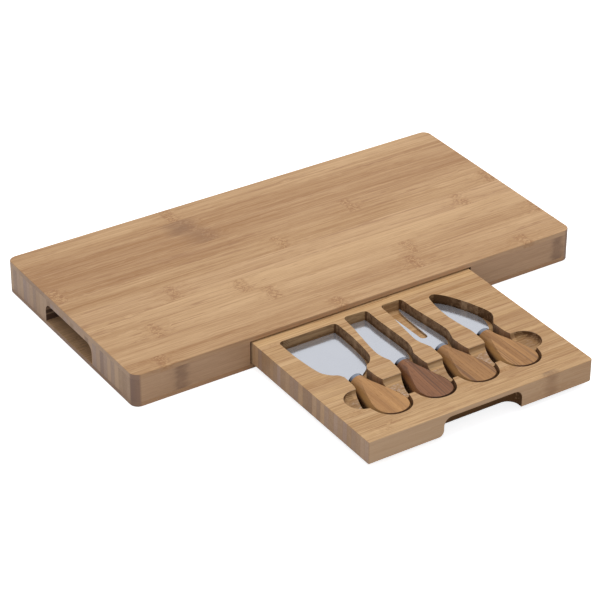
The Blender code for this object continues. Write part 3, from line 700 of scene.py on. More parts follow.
def bamboo_group():
    """Bamboo strips: fibres along X, glue lines, knuckles, darker cut ends, routed walls darkened by
    router burn and painted shade, and painted light and glints on some floors.
    """
    r, given = new_tree("bamboo strips", "ShaderNodeTree", BOARD_BAMBOO, FINISH_OUTPUTS)
    place = r.outputs("ShaderNodeTexCoord")
    here = place["Object"]
    x, y, z = r.parts(here)
    low, high, shift = r.attribute("slat_edges")
    mark_1, mark_2, mark_3 = r.attribute("slat_marks")
    tone, mark_4, cool = r.attribute("slat_finish")
    # How far router burn and painted shade darken a face, its smudge, and a floor's painted glint (1) or
    # painted light (-1)
    burn_and_shade, smudge, floor_glint_and_light = r.attribute("slat_state")
    # Each strip has its own stretch of the grain, and its lines run a little aslant
    slant = x * shift * given["Line Slant"]
    own = r.vector(shift * 5.0, shift * 0.3 + slant, shift * 0.2)
    moved = r.output("ShaderNodeVectorMath", {0: here, 1: own})
    # Knuckles, with ragged edges
    ragged = r.noise(moved, (90, 260, 260), detail=3.0)
    along = x + (ragged - 0.5) * 0.010
    nearest = abs(along - mark_1)
    for mark in (mark_2, mark_3, mark_4):
        nearest = smaller(nearest, abs(along - mark))
    knuckle = r.fall(nearest, 0.0024, 0.0066)
    ring = r.fall(abs(nearest - 0.0048), 0.0, 0.0009)
    halo = r.fall(nearest, 0.003, 0.024)
    # Fibres bend a little round the knuckles
    bend = (r.noise(moved, (70, 110, 110)) - 0.5) * (halo * 0.0045 + 0.0016)
    moved_x, moved_y, moved_z = r.parts(moved)
    bent = r.vector(moved_x, moved_y + bend, moved_z + bend)
    fine = r.noise(bent, (16, 1150, 1150), roughness=0.7)
    middle = r.noise(bent, (6, 400, 400), detail=3.0, roughness=0.6)
    broad = r.noise(moved, (5, 55, 55))
    share = (fine - 0.5) * 1.6 + (middle - 0.5) * 0.8 + (broad - 0.5) * 1.0
    share = share * given["Fibre Contrast"] + tone * given["Tone Contrast"] + x * given["Drift"]
    share = clamped(share + 0.42)
    colour = r.mix(share, given["Light"], given["Dark"])
    # Thin dark lines follow the fibres, and come and go
    wave = r.noise(bent, (4.5, 210, 210), roughness=0.45)
    line = r.fall(abs(wave - 0.5), 0.0, 0.028)
    faint = r.ramp(r.noise(moved, (14, 160, 160)), 0.36, 0.62, 0.25, 1.0)
    colour = r.mix(line * faint * given["Line Strength"], colour, given["Line"])
    # Knuckles are a band of dark dots and light curls between two ragged rings
    speck = r.noise(moved, (320, 430, 430), roughness=0.6, distortion=1.2)
    dark_speck = r.ramp(speck, 0.49, 0.56)
    light_speck = r.ramp(speck, 0.49, 0.42)
    own_strength = given["Knuckle Strength"] * (shift * 0.2 + 0.9) * r.ramp(burn_and_shade, 0.2, 1.0, 1.0, 0.3)
    knuckle_share = larger(knuckle * 0.5, halo * 0.16) * own_strength
    colour = r.mix(knuckle_share, colour, given["Knuckle"])
    dots = larger(dark_speck * knuckle, ring * 0.6)
    colour = r.mix(dots * own_strength * 0.6, colour, given["Line"])
    colour = r.mix(light_speck * knuckle * own_strength * 0.45, colour, given["Light"])
    colour = r.mix(cool * given["Blush Strength"], colour, given["Blush"])
    # The strips' sides and cut ends are duller; cut ends show their bundles as dots
    normal_x, normal_y, normal_z = r.parts(place["Normal"])
    plain = clamped(1.0 - burn_and_shade)
    side = r.ramp(abs(normal_y), 0.5, 0.9) * plain * given["Side Grain Strength"]
    side_share = clamped(share * 0.5 + x * given["Side Drift"])
    side_colour = r.mix(side_share, given["Side Grain"], given["Dark"])
    side_colour = r.mix(knuckle_share * 0.8, side_colour, given["Knuckle"])
    colour = r.mix(side, colour, side_colour)
    cut_end = r.ramp(abs(normal_x), 0.5, 0.9) * given["End Grain Strength"]
    end_colour = r.mix(cool * plain, given["End Grain"], given["Cool End Grain"])
    bundles = r.noise(moved, (60, 1200, 1200), detail=1.0)
    depth = (tone * 0.7 + (bundles - 0.5) * 0.9) * r.ramp(burn_and_shade, 0.0, 1.0, 1.0, 0.4)
    end_colour = r.mix(clamped(depth + 0.12), end_colour, given["Dark End Grain"])
    colour = r.mix(cut_end, colour, end_colour)
    # Some knuckles have a soft dark stain beside them
    beside = abs(along - mark_1 + given["Stain Offset"])
    stain = r.fall(beside, 0.001, given["Stain Reach"])
    cloud = r.ramp(r.noise(moved, (60, 130, 130)), 0.3, 0.65, 0.5, 1.0)
    colour = r.mix(stain * cloud * smudge, colour, given["Smudge"])
    # Painted light makes the floors inside the slots and the cavity pale, and painted shadow darkens the
    # slots' floors towards their backs
    lit_floor_share = smaller(floor_glint_and_light, 0.0) * -1.0
    colour = r.mix(lit_floor_share * r.ramp(fine, 0.35, 0.65, 0.35, 0.8), colour, given["Painted Floor Light"])
    inward = abs(x)
    slot = r.ramp(inward, 0.197, 0.184) * r.ramp(inward, 0.178, 0.182)
    colour = r.mix(slot * lit_floor_share * 0.1, colour, given["Burn And Shade"])
    # Rounded upright corners cut aslant across the fibres, and come out darker
    across = abs(normal_x * normal_y) * 2.0
    corner = r.ramp(across, 0.05, 0.65) * given["Corner Strength"]
    colour = r.mix(corner * plain, colour, given["Dark End Grain"])
    # Glue lines
    to_edge = smaller(y - low, high - y)
    seam = r.fall(to_edge, 0.00005, 0.0004)
    colour = r.mix(seam * given["Seam Strength"], colour, given["Line"])
    # Router burn and painted shade darken the walls, with more painted shade in rounded corners; painted
    # shade darkens the channel's floors, a painted glint lightens them in patches, and the router's
    # swirls mark the wells
    burn_shade_share = burn_and_shade * r.ramp(middle, 0.38, 0.62, 0.65, 1.15) + r.ramp(across, 0.7, 1.0) * burn_and_shade
    burn_shade_share = burn_shade_share * (tone * 0.5 + 1.0)
    colour = r.mix(clamped(burn_shade_share * given["Burn And Shade Strength"]), colour, given["Burn And Shade"])
    painted_glint = r.noise(here, (420, 620, 620), detail=3.0, roughness=0.65)
    patches = r.noise(here, (75, 75, 75), detail=1.0)
    painted_glint = r.ramp(painted_glint, 0.46, 0.66) * r.ramp(patches, 0.42, 0.56) * floor_glint_and_light
    colour = r.mix(floor_glint_and_light * 0.3, colour, given["Burn And Shade"])
    colour = r.mix(painted_glint * 0.65, colour, given["Painted Glint"])
    swirl = r.outputs("ShaderNodeTexWave", {
        "Vector": here, "Scale": 240.0, "Distortion": 9.0, "Detail": 2.0, "Detail Scale": 0.6},
        bands_direction="DIAGONAL")["Fac"]
    wells = r.ramp(abs(x), HANDLES_REACH, HANDLES_REACH + 0.002)
    wells = wells * burn_and_shade * r.ramp(z, CHANNEL_BOTTOM - LIP, CHANNEL_BOTTOM)
    colour = r.mix(clamped(r.ramp(swirl, 0.55, 0.9) * wells * 0.35), colour, given["Burn And Shade"])
    rough = given["Base Roughness"] + (middle - 0.5) * 0.2 + clamped(burn_and_shade * 0.3) - painted_glint * 0.15
    height = fine * 0.5 + middle * 0.8 - seam * 0.5 - knuckle_share * 0.4
    r.add("NodeGroupOutput", {"Color": colour, "Roughness": rough, "Height": height})
    return r.tree


def handle_grain_group():
    """Close-grained turned wood, with the grain along Y of the place that it is given."""
    r, given = new_tree("handle grain", "ShaderNodeTree", {
        "Place": "NodeSocketVector", **WOODS["slicer"], "Vein Strength": 0.5, "Pore Strength": 0.22,
        "Crease Shade Strength": 0.6, "Belly Light Strength": 0.7, "Base Roughness": 0.4}, FINISH_OUTPUTS)
    wave = r.noise(given["Place"], (60, 22, 60))
    x, y, z = r.parts(given["Place"])
    bent = r.vector(x + (wave - 0.5) * 0.0022, y, z)
    broad = r.noise(bent, (170, 6, 170))
    narrow = r.noise(bent, (600, 5, 600), roughness=0.6)
    share = clamped((broad - 0.5) * 1.6 + (narrow - 0.5) * 1.3 + 0.5)
    colour = r.mix(share, given["Light"], given["Dark"])
    vein = r.ramp(r.noise(bent, (400, 3, 400), detail=1.0), 0.58, 0.66)
    colour = r.mix(vein * given["Vein Strength"], colour, given["Vein"])
    pores = r.ramp(r.noise(bent, (1100, 200, 1100), detail=1.0), 0.56, 0.68)
    colour = r.mix(pores * given["Pore Strength"], colour, given["Vein"])
    # Painted shade darkens the turned sides, painted light brightens their steepest parts, and painted
    # shade darkens the round end and the underside
    across, forward, rise = r.parts(r.outputs("ShaderNodeTexCoord")["Normal"])
    upward = abs(rise)
    colour = r.mix(r.fall(upward, 0.72, 0.94) * given["Crease Shade Strength"], colour, given["Crease Shade"])
    colour = r.mix(r.fall(upward, 0.2, 0.62) * given["Belly Light Strength"], colour, given["Belly Light"])
    # Painted shade on the round end and the underside
    round_end = r.ramp(forward, -0.35, -0.75) * r.fall(upward, 0.5, 0.85)
    underside_shade = r.ramp(rise, 0.3, -0.05) * r.ramp(rise, -0.95, -0.8)
    colour = r.mix(larger(round_end, underside_shade) * 0.88, colour, given["Vein"])
    r.add("NodeGroupOutput", {"Color": colour, "Roughness": given["Base Roughness"] + pores * 0.15,
                              "Height": narrow * 0.6 - pores * 0.5})
    return r.tree


def steel_group():
    """Satin steel, brushed along the X of the place that it is given, with a painted dark reflection on
    its upright sides.
    """
    r, given = new_tree("satin steel", "ShaderNodeTree", {
        "Place": "NodeSocketVector", "Light": (0.60, 0.62, 0.675), "Dark": (0.55, 0.57, 0.625),
        "Dark Reflection": (0.12, 0.125, 0.14), "Dark Reflection Strength": 0.0, "Base Roughness": 0.13,
        "Scratch Strength": 0.08}, FINISH_OUTPUTS)
    streak = r.noise(given["Place"], (14, 1400, 1400))
    cloud = r.noise(given["Place"], (70, 40, 70))
    share = clamped(streak * 0.4 + cloud * 0.6)
    colour = r.mix(share, given["Light"], given["Dark"])
    lean, *others = r.parts(r.outputs("ShaderNodeTexCoord")["Normal"])
    # Painted dark reflection on the upright sides
    dark_reflection = larger(r.ramp(lean, -0.35, -0.85), r.ramp(lean, 0.45, 0.9) * 0.7)
    colour = r.mix(dark_reflection * given["Dark Reflection Strength"], colour, given["Dark Reflection"])
    rough = given["Base Roughness"] + (share - 0.5) * given["Scratch Strength"]
    r.add("NodeGroupOutput", {"Color": colour, "Roughness": rough, "Height": streak})
    return r.tree


def new_shader(name):
    """A material with a Principled shader; returns it with its recipe and the shader's inputs."""
    material = bpy.data.materials.new(name)
    material.use_nodes = True
    return material, Recipe(material.node_tree), material.node_tree.nodes["Principled BSDF"].inputs


def new_material(name, group, values, bump, place=None, **shader_values):
    """A material fed by one of the finish groups, with the group's own values for it."""
    material, r, shader = new_shader(name)
    if place:
        here = r.outputs("ShaderNodeTexCoord")["Object"]
        values = {**values, "Place": r.output("ShaderNodeMapping", {
            "Vector": here, "Location": place[0], "Rotation": (0, 0, place[1])}, vector_type="POINT")}
    finish = r.outputs("ShaderNodeGroup", values, node_tree=group)
    relief = r.output("ShaderNodeBump", {"Height": finish["Height"], "Distance": bump, "Strength": 1.0})
    for label, value in {"Base Color": finish["Color"], "Roughness": finish["Roughness"],
                         "Normal": relief, **shader_values}.items():
        r.put(shader[label.replace("_", " ")], value)
    return material


def make_panels(material):
    outline = rounded_rectangle(-BOARD_LENGTH / 2, BOARD_LENGTH / 2, -BOARD_DEPTH / 2, BOARD_DEPTH / 2,
                                [BOARD_CORNER_RADIUS] * 4)
    lows = {"top_panel": BOARD_HEIGHT - PANEL_THICKNESS, "bottom_panel": 0.0}
    for seed, (name, low) in enumerate(lows.items()):
        panel = slab(name + "_strips", outline, low, low + PANEL_THICKNESS)
        eased_rim(panel, BOARD_HEIGHT if low else 0.0, BOARD_EDGE_EASE)
        strips = TOP_STRIPS
        if name == "bottom_panel":
            strips = [(-high, -low_edge, tone + BOTTOM_TONE, cool, tuple(-k for k in knuckles), 0.0)
                      for low_edge, high, tone, cool, knuckles, smudge in TOP_STRIPS[::-1]]
        lay_slats(panel, strips, seed, None if low else lit_floor_faces)
        finished(panel, material, "board", name)


def slot_painted_shade(middle, normal):
    """Painted shade darkens the drawer cavity's sides and the finger slot's walls, least the slot's wall
    that faces backwards.
    """
    if abs(normal.x) > FACING and abs(middle.x) < CAVITY_WIDTH / 2 + 2 * LIP:
        return CAVITY_PAINTED_SHADE, 0.0
    from_end = BOARD_LENGTH / 2 - abs(middle.x)
    if (abs(middle.y) < SLOT_WIDTH / 2 + TOUCH and TOUCH / 2 < from_end < SLOT_DEPTH + TOUCH
            and middle.z < PANEL_THICKNESS + SLOT_HEIGHT + TOUCH):
        return (SLOT_END_PAINTED_SHADE if normal.y < 0.1 else SLOT_SIDE_PAINTED_SHADE), 0.0
    return 0.0, 0.0


def lit_floor_faces(middle, normal):
    """Painted light makes the lower panel pale inside the slots and the drawer's cavity."""
    return 0.0, (PAINTED_LIT_FLOOR if normal.z > FACING else 0.0)


def make_end_block(name, side, material):
    left, right = sorted((side * BOARD_LENGTH / 2, side * CAVITY_WIDTH / 2))
    left_radius, right_radius = (BOARD_CORNER_RADIUS, 0) if side < 0 else (0, BOARD_CORNER_RADIUS)
    outline = rounded_rectangle(left, right, -BOARD_DEPTH / 2, BOARD_DEPTH / 2,
                                [left_radius, right_radius, right_radius, left_radius])
    low = PANEL_THICKNESS + GLUE_LINE
    block = slab(name + "_slats", outline, low, BOARD_HEIGHT - PANEL_THICKNESS - GLUE_LINE)
    opening = rounded_rectangle(-SLOT_WIDTH / 2, SLOT_WIDTH / 2, -CUT_OVERRUN, SLOT_HEIGHT,
                                [0, 0, SLOT_CORNER_RADIUS, SLOT_CORNER_RADIUS])
    upright = Matrix.Rotation(math.pi / 2, 4, "Z") @ UPENDED
    start = BOARD_LENGTH / 2 - SLOT_DEPTH if side > 0 else -BOARD_LENGTH / 2 - CUT_OVERRUN
    place = Matrix.Translation((start, 0, low)) @ upright
    carved(block, slab("finger_slot", opening, 0, SLOT_DEPTH + CUT_OVERRUN, place))
    seed, knuckle = (11, -0.160) if side < 0 else (23, 0.187)
    slats = random_slats(-BOARD_DEPTH / 2, BOARD_DEPTH / 2, seed, (left, right),
                         [(-INSIDE_END, 0.1, 0.5, (knuckle,), 0.7)] + END_BLOCK_SLATS)
    lay_slats(block, slats, 5, slot_painted_shade)
    finished(block, material, "board", name)


def make_back_rail(material):
    half = CAVITY_WIDTH / 2 - GLUE_LINE
    outline = rounded_rectangle(-half, half, BOARD_DEPTH / 2 - BACK_RAIL_DEPTH, BOARD_DEPTH / 2, [0] * 4)
    rail = slab("core_back_slats", outline, PANEL_THICKNESS + GLUE_LINE,
                BOARD_HEIGHT - PANEL_THICKNESS - GLUE_LINE)
    slats = random_slats(BOARD_DEPTH / 2 - BACK_RAIL_DEPTH, BOARD_DEPTH / 2, 31, (-half, half),
                         END_BLOCK_SLATS[:1])
    lay_slats(rail, slats, 6)
    finished(rail, material, "board", "core_back")


def knife_place(slot, lean):
    """The middle of the ferrule's face, with the knife's axis along local +Y."""
    belly = HANDLE_LENGTH * (1 - max(HANDLE_SHARES)[1])
    from_belly = HANDLE_LENGTH + FERRULE_LENGTH - belly
    x = (slot - MIDDLE_SLOT) * KNIFE_PITCH + from_belly * math.sin(lean)
    y = DRAWER_FRONT + HANDLE_END_FROM_FRONT + belly + from_belly * math.cos(lean)
    return Matrix.Translation((x, y, KNIFE_AXIS_HEIGHT)) @ Matrix.Rotation(-lean, 4, "Z")


def blade_pocket(kind, place):
    size = (kind["size"][0] + 2 * BLADE_POCKET_CLEARANCE, kind["size"][1] + BLADE_POCKET_CLEARANCE)
    right, left, corner = kind["pocket"]
    outline = leaf(right, left, size, corner)
    floor = DRAWER_TOP - BLADE_POCKET_DEPTH - KNIFE_AXIS_HEIGHT
    return slab("blade_pocket", outline, floor, floor + BLADE_POCKET_DEPTH + CUT_OVERRUN, place)


def handle_pocket(place):
    """From just past the ferrule's face to the handle's round end."""
    neck = FERRULE_RADIUS + NECK_SIDE_CLEARANCE
    half = HANDLE_WIDTH / 2 + HANDLE_SIDE_CLEARANCE
    length = HANDLE_LENGTH + HANDLE_END_CLEARANCE
    side = [(neck, -FERRULE_LENGTH)]
    side += [(half * across, -FERRULE_LENGTH - length * along) for across, along in HANDLE_POCKET_SHARES]
    whole = side + [(-x, y) for x, y in side[-2::-1]]
    outline = [(neck, NECK_END_CLEARANCE)] + smoothed(whole) + [(-neck, NECK_END_CLEARANCE)]
    floor = DRAWER_TOP - HANDLE_POCKET_DEPTH - KNIFE_AXIS_HEIGHT
    return slab("handle_pocket", outline, floor, floor + HANDLE_POCKET_DEPTH + CUT_OVERRUN, place)


def channel():
    """The shallow trough across the handles, with a coved floor."""
    right = arc((CHANNEL_REACH, 0), CHANNEL_RADIUS, -math.pi / 2, math.pi / 2, CHANNEL_STEPS)
    left = arc((-CHANNEL_REACH, 0), CHANNEL_RADIUS, math.pi / 2, 3 * math.pi / 2, CHANNEL_STEPS)
    place = Matrix.Translation((0, DRAWER_FRONT + CHANNEL_FROM_FRONT, DRAWER_TOP - CHANNEL_DEPTH))
    trough = slab("finger_channel", right + left, 0, CHANNEL_DEPTH + CUT_OVERRUN, place)
    return eased(trough, CHANNEL_FLOOR_RADIUS, FLOOR_SEGMENTS)


def notch():
    """Rounded at its upper corners as seen from the front, and at its back corners in plan."""
    half = NOTCH_WIDTH / 2
    front_view = rounded_rectangle(-half, half, -CUT_OVERRUN, NOTCH_HEIGHT,
                                   [0, 0, NOTCH_CORNER_RADIUS, NOTCH_CORNER_RADIUS])
    back = Matrix.Translation((0, DRAWER_FRONT + NOTCH_DEPTH, DRAWER_BOTTOM))
    opening = slab("finger_notch", front_view, 0, NOTCH_DEPTH + CUT_OVERRUN, back @ UPENDED)
    plan = rounded_rectangle(-half, half, -CUT_OVERRUN, NOTCH_DEPTH,
                             [0, 0, NOTCH_BACK_CORNER_RADIUS, NOTCH_BACK_CORNER_RADIUS])
    low = Matrix.Translation((0, DRAWER_FRONT, DRAWER_BOTTOM - CUT_OVERRUN))
    return carved(opening, slab("notch_plan", plan, 0, NOTCH_HEIGHT + 2 * CUT_OVERRUN, low), "INTERSECT")


def lower_round(corner, radius, length):
    """Rounds a lower edge that runs back from the drawer's front, left of the corner."""
    outline = arc((corner - radius, radius), radius, -math.pi / 2, 0, CORNER_STEPS)
    outline += [(corner + radius, radius), (corner + radius, -radius), (corner - radius, -radius)]
    back = Matrix.Translation((0, DRAWER_FRONT + length, DRAWER_BOTTOM))
    return slab("lower_round", outline, 0, length + CUT_OVERRUN, back @ UPENDED)


def deeper(depth, band):
    """Rises from 0 to 1 over a little depth below the band."""
    return min(max((depth - band) / LOWER_SHADE_FADE, 0.0), 1.0)


def drawer_burn_and_shade(middle, normal):
    """How far router burn and painted shade darken a face inside the drawer, and how strong a painted
    glint a floor gets.
    """
    from_front = middle.y - DRAWER_FRONT
    from_middle = abs(middle.x)
    # The notch gets painted shade
    if (from_middle < NOTCH_WIDTH / 2 + TOUCH and TOUCH / 2 < from_front < NOTCH_DEPTH + LIP
            and middle.z < DRAWER_BOTTOM + NOTCH_HEIGHT + LIP):
        return NOTCH_PAINTED_SHADE, 0.0
    if (from_middle > DRAWER_WIDTH / 2 - SIDE_SKIN or middle.z > DRAWER_TOP - TOP_SKIN
            or not END_SKIN <= from_front <= DRAWER_DEPTH - END_SKIN):
        return 0.0, 0.0
    depth = DRAWER_TOP - middle.z
    upward = max(normal.z, 0.0)
    # Channel and wells: painted shade and router burn on the walls, more in the wells, and a painted
    # glint on the level floors
    if depth < CHANNEL_DEPTH + LIP:
        well, painted_glint = 0.0, 1.0
        if middle.x < -HANDLES_REACH:
            well = LEFT_WELL_BURN_AND_SHADE
        elif middle.x > HANDLES_REACH:
            well, painted_glint = RIGHT_WELL_BURN_AND_SHADE, RIGHT_WELL_GLINT
        return well + CHANNEL_WALL_BURN_AND_SHADE * (1.0 - upward ** 2), (painted_glint if upward > LEVEL else 0.0)
    # Handle pockets: router burn and painted shade, with more painted shade lower down
    if from_front < HANDLE_END_FROM_FRONT + HANDLE_LENGTH:
        if from_front > HANDLE_END_FROM_FRONT + NECK_FROM * HANDLE_LENGTH:
            return NECK_BURN_AND_SHADE + NECK_LOWER_PAINTED_SHADE * deeper(depth, NECK_UPPER_BAND), 0.0
        return BELLY_BURN_AND_SHADE + BELLY_LOWER_PAINTED_SHADE * deeper(depth, BELLY_UPPER_BAND), 0.0
    # Blade pockets: router burn and painted shade on the walls, more painted shade in their rounded
    # corners and on the deeper floors
    wall = POCKET_FRONT_BURN_AND_SHADE if normal.y < -0.5 else POCKET_SIDE_BURN_AND_SHADE
    if middle.x < KNIFE_PITCH and from_front > POCKET_CORNERS_FROM:
        wall += POCKET_CORNER_PAINTED_SHADE * min(3.0 * abs(normal.x * normal.y), 1.0)
    floor = DEEP_FLOOR_PAINTED_SHADE if depth > BLADE_POCKET_DEPTH + 2 * LIP else 0.0
    return max(wall * (1.0 - upward ** 0.5), floor), 0.0


def make_drawer(kinds, material):
    half = DRAWER_WIDTH / 2
    outline = rounded_rectangle(-half, half, DRAWER_FRONT, DRAWER_FRONT + DRAWER_DEPTH,
                                [DRAWER_LEFT_CORNER_RADIUS, DRAWER_RIGHT_CORNER_RADIUS, 0, 0])
    drawer = eased(slab("drawer_slats", outline, DRAWER_BOTTOM, DRAWER_TOP), DRAWER_EDGE_EASE)
    carved(drawer, channel())
    for kind in kinds.values():
        place = knife_place(kind["slot"], kind["lean"])
        carved(drawer, blade_pocket(kind, place))
        carved(drawer, handle_pocket(place))
    carved(drawer, notch())
    carved(drawer, lower_round(-NOTCH_WIDTH / 2, NOTCH_FLARE_RADIUS, NOTCH_DEPTH))
    carved(drawer, lower_round(DRAWER_WIDTH / 2, DRAWER_LOWER_EDGE_RADIUS, DRAWER_DEPTH + CUT_OVERRUN))
    slats = random_slats(DRAWER_FRONT, DRAWER_FRONT + DRAWER_DEPTH, 47, (-half, half), DRAWER_SLATS_WITH_PAINTED_LIGHT)
    lay_slats(drawer, slats, 7, drawer_burn_and_shade)
    finished(drawer, material, "drawer", "drawer")


def turned_handle_tree():
    """Geometry nodes: a handle turned along -Y from its outline, with two flats."""
    r, given = new_tree("turned handle", "GeometryNodeTree", {
        "Length": HANDLE_LENGTH, "Width": HANDLE_WIDTH, "Thickness": HANDLE_THICKNESS,
        "Rings": HANDLE_RINGS, "Turn Steps": TURN_STEPS, "Material": "NodeSocketMaterial"},
        {"Geometry": "NodeSocketGeometry"})
    axis = r.output("GeometryNodeCurvePrimitiveLine", {"End": (0, -1, 0)})
    rings = r.output("GeometryNodeResampleCurve", {"Curve": axis, "Count": given["Rings"]})
    even = r.output("GeometryNodeInputIndex") / (given["Rings"] - 1.0)
    # Rings crowd towards the round end
    share = 1.0 - (1.0 - even) ** RING_CROWDING
    spaced = r.output("GeometryNodeSetPosition", {
        "Geometry": rings, "Position": r.vector(0, share * given["Length"] * -1.0, 0)})
    profile = r.add("ShaderNodeFloatCurve", {"Value": share})
    points = profile.mapping.curves[0].points
    shares = [(along, across) for across, along in HANDLE_SHARES]
    points[0].location, points[1].location = shares[0], shares[-1]
    for along, across in shares[1:-1]:
        points.new(along, across)
    profile.mapping.update()
    radius = Value(r, profile.outputs[0]) * (given["Width"] * 0.5)
    ring = r.output("GeometryNodeCurvePrimitiveCircle", {
        "Resolution": given["Turn Steps"], "Radius": 1.0})
    sweep = r.output("GeometryNodeCurveToMesh", {
        "Curve": spaced, "Profile Curve": ring, "Scale": radius, "Fill Caps": True})
    room = r.vector(given["Width"] * 2.0, given["Length"] * 3.0, given["Thickness"])
    flats = r.output("GeometryNodeMeshCube", {"Size": room})
    both = r.add("GeometryNodeMeshBoolean", operation="INTERSECT", solver="EXACT")
    r.put(both.inputs["Mesh 2"], sweep)
    r.put(both.inputs["Mesh 2"], flats)
    real = r.output("GeometryNodeRealizeInstances", {"Geometry": Value(r, both.outputs[0])})
    dressed = r.output("GeometryNodeSetMaterial", {"Geometry": real, "Material": given["Material"]})
    r.add("NodeGroupOutput", {"Geometry": dressed})
    return r.tree


def from_nodes(name, tree, values):
    """A plain piece from a geometry nodes tree and its named inputs."""
    piece = new_piece(name, bpy.data.meshes.new(name))
    modifier = piece.modifiers.new(tree.name, "NODES")
    modifier.node_group = tree
    identifiers = {item.name: item.identifier for item in tree.interface.items_tree
                   if item.item_type == "SOCKET" and item.in_out == "INPUT"}
    for label, value in values.items():
        modifier[identifiers[label]] = value
    return applied(piece)


def turned(name, profile, place):
    """A solid turned about Y from (radius, y) points."""
    shape = bmesh.new()
    line = [shape.verts.new((radius, y, 0)) for radius, y in profile]
    edges = [shape.edges.new(pair) for pair in zip(line, line[1:])]
    bmesh.ops.spin(shape, geom=line + edges, cent=(0, 0, 0), axis=(0, 1, 0), angle=2 * math.pi,
                   steps=TURN_STEPS, use_merge=True)
    return solid(name, shape, place)


def tang_room(place):
    half = TANG_WIDTH / 2 + FIT_GAP
    outline = rounded_rectangle(-half, half, -TANG_LENGTH - FIT_GAP, CUT_OVERRUN, [0] * 4)
    depth = BLADE_THICKNESS / 2 + FIT_GAP
    return slab("tang_room", outline, -depth, depth, place)


def make_blade(name, kind, place, material):
    neck, tang = BLADE_NECK_WIDTH / 2, TANG_WIDTH / 2
    body = kind["outline"]
    outline = [(tang, -TANG_LENGTH), (tang, FIT_GAP), (neck, FIT_GAP)] + body
    outline += [(-neck, FIT_GAP), (-tang, FIT_GAP), (-tang, -TANG_LENGTH)]
    blade = slab(name + "_steel", outline, -BLADE_THICKNESS / 2, BLADE_THICKNESS / 2, place)
    eased(blade, BLADE_EDGE_EASE, 2)
    finished(blade, material, name, name + "_blade")


def make_ferrule(name, place, material):
    inner = FERRULE_RADIUS - FERRULE_WALL
    rim = arc((FERRULE_RADIUS - FERRULE_EASE, -FERRULE_EASE), FERRULE_EASE, math.pi / 2, 0, 5)
    foot = arc((FERRULE_RADIUS - FERRULE_EASE / 2, FERRULE_EASE / 2 - FERRULE_LENGTH), FERRULE_EASE / 2,
               0, -math.pi / 2, 4)
    profile = [(0, 0)] + rim + foot
    profile += [(inner, -FERRULE_LENGTH), (inner, -FERRULE_WALL), (0, -FERRULE_WALL)]
    ferrule = turned(name + "_collar", profile, place)
    carved(ferrule, tang_room(place))
    finished(ferrule, material, name, name + "_ferrule")


def make_handle(name, tree, place, material):
    handle = from_nodes(name + "_grip", tree, {"Material": material})
    handle.data.transform(place @ Matrix.Translation((0, -FERRULE_LENGTH - FIT_GAP / 3, 0)))
    carved(handle, tang_room(place))
    finished(handle, material, name, name + "_handle", FLAT_RIM_ANGLE)


def knife_kinds():
    """Each knife's slot in the row, its lean, its blade's size and outline, and its pocket."""
    kinds = {}
    for slot, (name, size, blade, pocket, corner) in enumerate([
            ("cleaver", CLEAVER, [CLEAVER_SHARES] * 2, [CLEAVER_POCKET_SHARES] * 2,
             POCKET_CORNER_RADIUS),
            ("spreader", SPREADER, [SPREADER_SHARES] * 2, [SPREADER_POCKET_SHARES] * 2,
             POCKET_CORNER_RADIUS),
            ("fork", FORK, None, [FORK_POCKET_SHARES] * 2, POCKET_CORNER_RADIUS),
            ("slicer", SLICER, [SLICER_RIGHT_SHARES, SLICER_LEFT_SHARES],
             [SLICER_POCKET_RIGHT_SHARES, SLICER_POCKET_LEFT_SHARES], SLICER_POCKET_CORNER_RADIUS)]):
        outline = leaf(*blade, size, BLADE_CORNER_RADIUS) if blade else fork_outline()
        kinds[name] = {"slot": slot, "lean": SPREADER_LEAN if name == "spreader" else 0, "size": size,
                       "outline": outline, "pocket": (*pocket, corner)}
    return kinds


def make_knives(kinds):
    grain, steel = handle_grain_group(), steel_group()
    tree = turned_handle_tree()
    for name, kind in kinds.items():
        place = knife_place(kind["slot"], kind["lean"])
        middle = place.translation
        own_place = ((-middle.x, -middle.y + 0.1 * kind["slot"], -middle.z), kind["lean"])
        slot = "dark_handle_wood" if name == "spreader" else "light_handle_wood"
        wood = new_material(name + "_" + slot, grain, WOODS[name], WOOD_GRAIN_DEPTH, own_place,
                            Specular_IOR_Level=WOOD_GLOSS)
        blade = new_material(name + "_blade_steel", steel, {}, BLADE_BRUSH_DEPTH, own_place,
                             Metallic=BLADE_METALLIC)
        collar = new_material(name + "_ferrule_steel", steel, FERRULE_STEEL, FERRULE_BRUSH_DEPTH,
                              own_place, Metallic=1.0)
        make_blade(name, kind, place, blade)
        make_ferrule(name, place, collar)
        make_handle(name, tree, place, wood)


def make_floor():
    """A white floor that keeps the object's shadow and glows a little to the camera alone."""
    shape = bmesh.new()
    bmesh.ops.create_grid(shape, x_segments=2, y_segments=2, size=FLOOR_REACH)
    floor = solid("floor", shape, Matrix.Translation((0, 0, -FLOOR_GAP)))
    material, r, shader = new_shader("white_floor")
    seen = r.outputs("ShaderNodeLightPath")["Is Camera Ray"]
    for label, value in {"Base Color": FLOOR_COLOUR, "Roughness": 1.0, "Specular IOR Level": 0.0,
                         "Emission Color": (1, 1, 1), "Emission Strength": seen * FLOOR_GLOW}.items():
        r.put(shader[label], value)
    floor.data.materials.append(material)


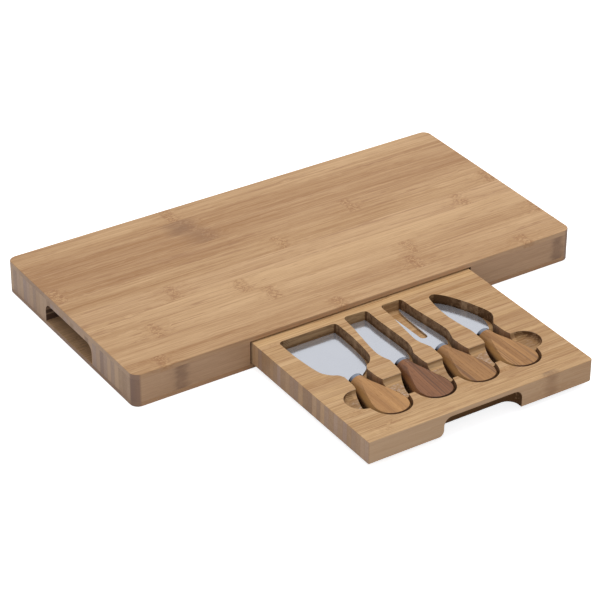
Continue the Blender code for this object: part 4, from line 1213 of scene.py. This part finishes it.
def make_light():
    world = bpy.data.worlds.new("studio")
    bpy.context.scene.world = world
    world.use_nodes = True
    world.node_tree.nodes.clear()
    r = Recipe(world.node_tree)
    path = r.outputs("ShaderNodeLightPath")
    seen = larger(path["Is Camera Ray"], larger(path["Is Glossy Ray"], path["Is Transmission Ray"]))
    fill = r.output("ShaderNodeBackground", {"Color": SKY_COLOUR, "Strength": SKY_STRENGTH})
    white = r.output("ShaderNodeBackground", {"Color": (1, 1, 1), "Strength": 1.0})
    both = r.output("ShaderNodeMixShader", {0: seen, 1: fill, 2: white})
    r.add("ShaderNodeOutputWorld", {"Surface": both})
    for name, (spot, size, power, colour) in LAMPS.items():
        data = bpy.data.lights.new(name, "AREA")
        data.shape = "RECTANGLE"
        data.size, data.size_y = size
        data.energy = power
        data.color = colour
        lamp = new_piece(name, data)
        lamp.visible_glossy = False
        lamp.location = spot
        aim = Vector(LAMPS_AIM) - Vector(spot)
        lamp.rotation_euler = aim.to_track_quat("-Z", "Y").to_euler()


def make_camera():
    back = Vector((math.sin(AZIMUTH) * math.cos(ELEVATION), -math.cos(AZIMUTH) * math.cos(ELEVATION),
                   math.sin(ELEVATION)))
    level = Vector((math.cos(AZIMUTH), math.sin(AZIMUTH), 0))
    upright = back.cross(level)
    right = level * math.cos(ROLL) + upright * math.sin(ROLL)
    up = upright * math.cos(ROLL) - level * math.sin(ROLL)
    data = bpy.data.cameras.new("camera")
    data.lens = LENS
    data.sensor_width = SENSOR_WIDTH
    camera = new_piece("camera", data)
    turn = Matrix((right, up, back)).transposed().to_4x4()
    camera.matrix_world = Matrix.Translation(back * DISTANCE + right * ACROSS + up * UPWARD) @ turn
    bpy.context.scene.camera = camera


def main():
    bpy.context.scene.view_settings.view_transform = "Standard"
    make_camera()
    make_light()
    make_floor()
    bamboo = bamboo_group()
    board_wood, core_wood, drawer_wood = [
        new_material(name, bamboo, values, depth, Specular_IOR_Level=BAMBOO_GLOSS)
        for name, values, depth in (("board_bamboo", BOARD_BAMBOO, BOARD_GRAIN_DEPTH),
                                    ("core_bamboo", CORE_BAMBOO, BOARD_GRAIN_DEPTH),
                                    ("drawer_bamboo", DRAWER_BAMBOO, DRAWER_GRAIN_DEPTH))]
    make_panels(board_wood)
    make_end_block("core_left", -1, core_wood)
    make_end_block("core_right", 1, core_wood)
    make_back_rail(core_wood)
    kinds = knife_kinds()
    make_drawer(kinds, drawer_wood)
    make_knives(kinds)


main()
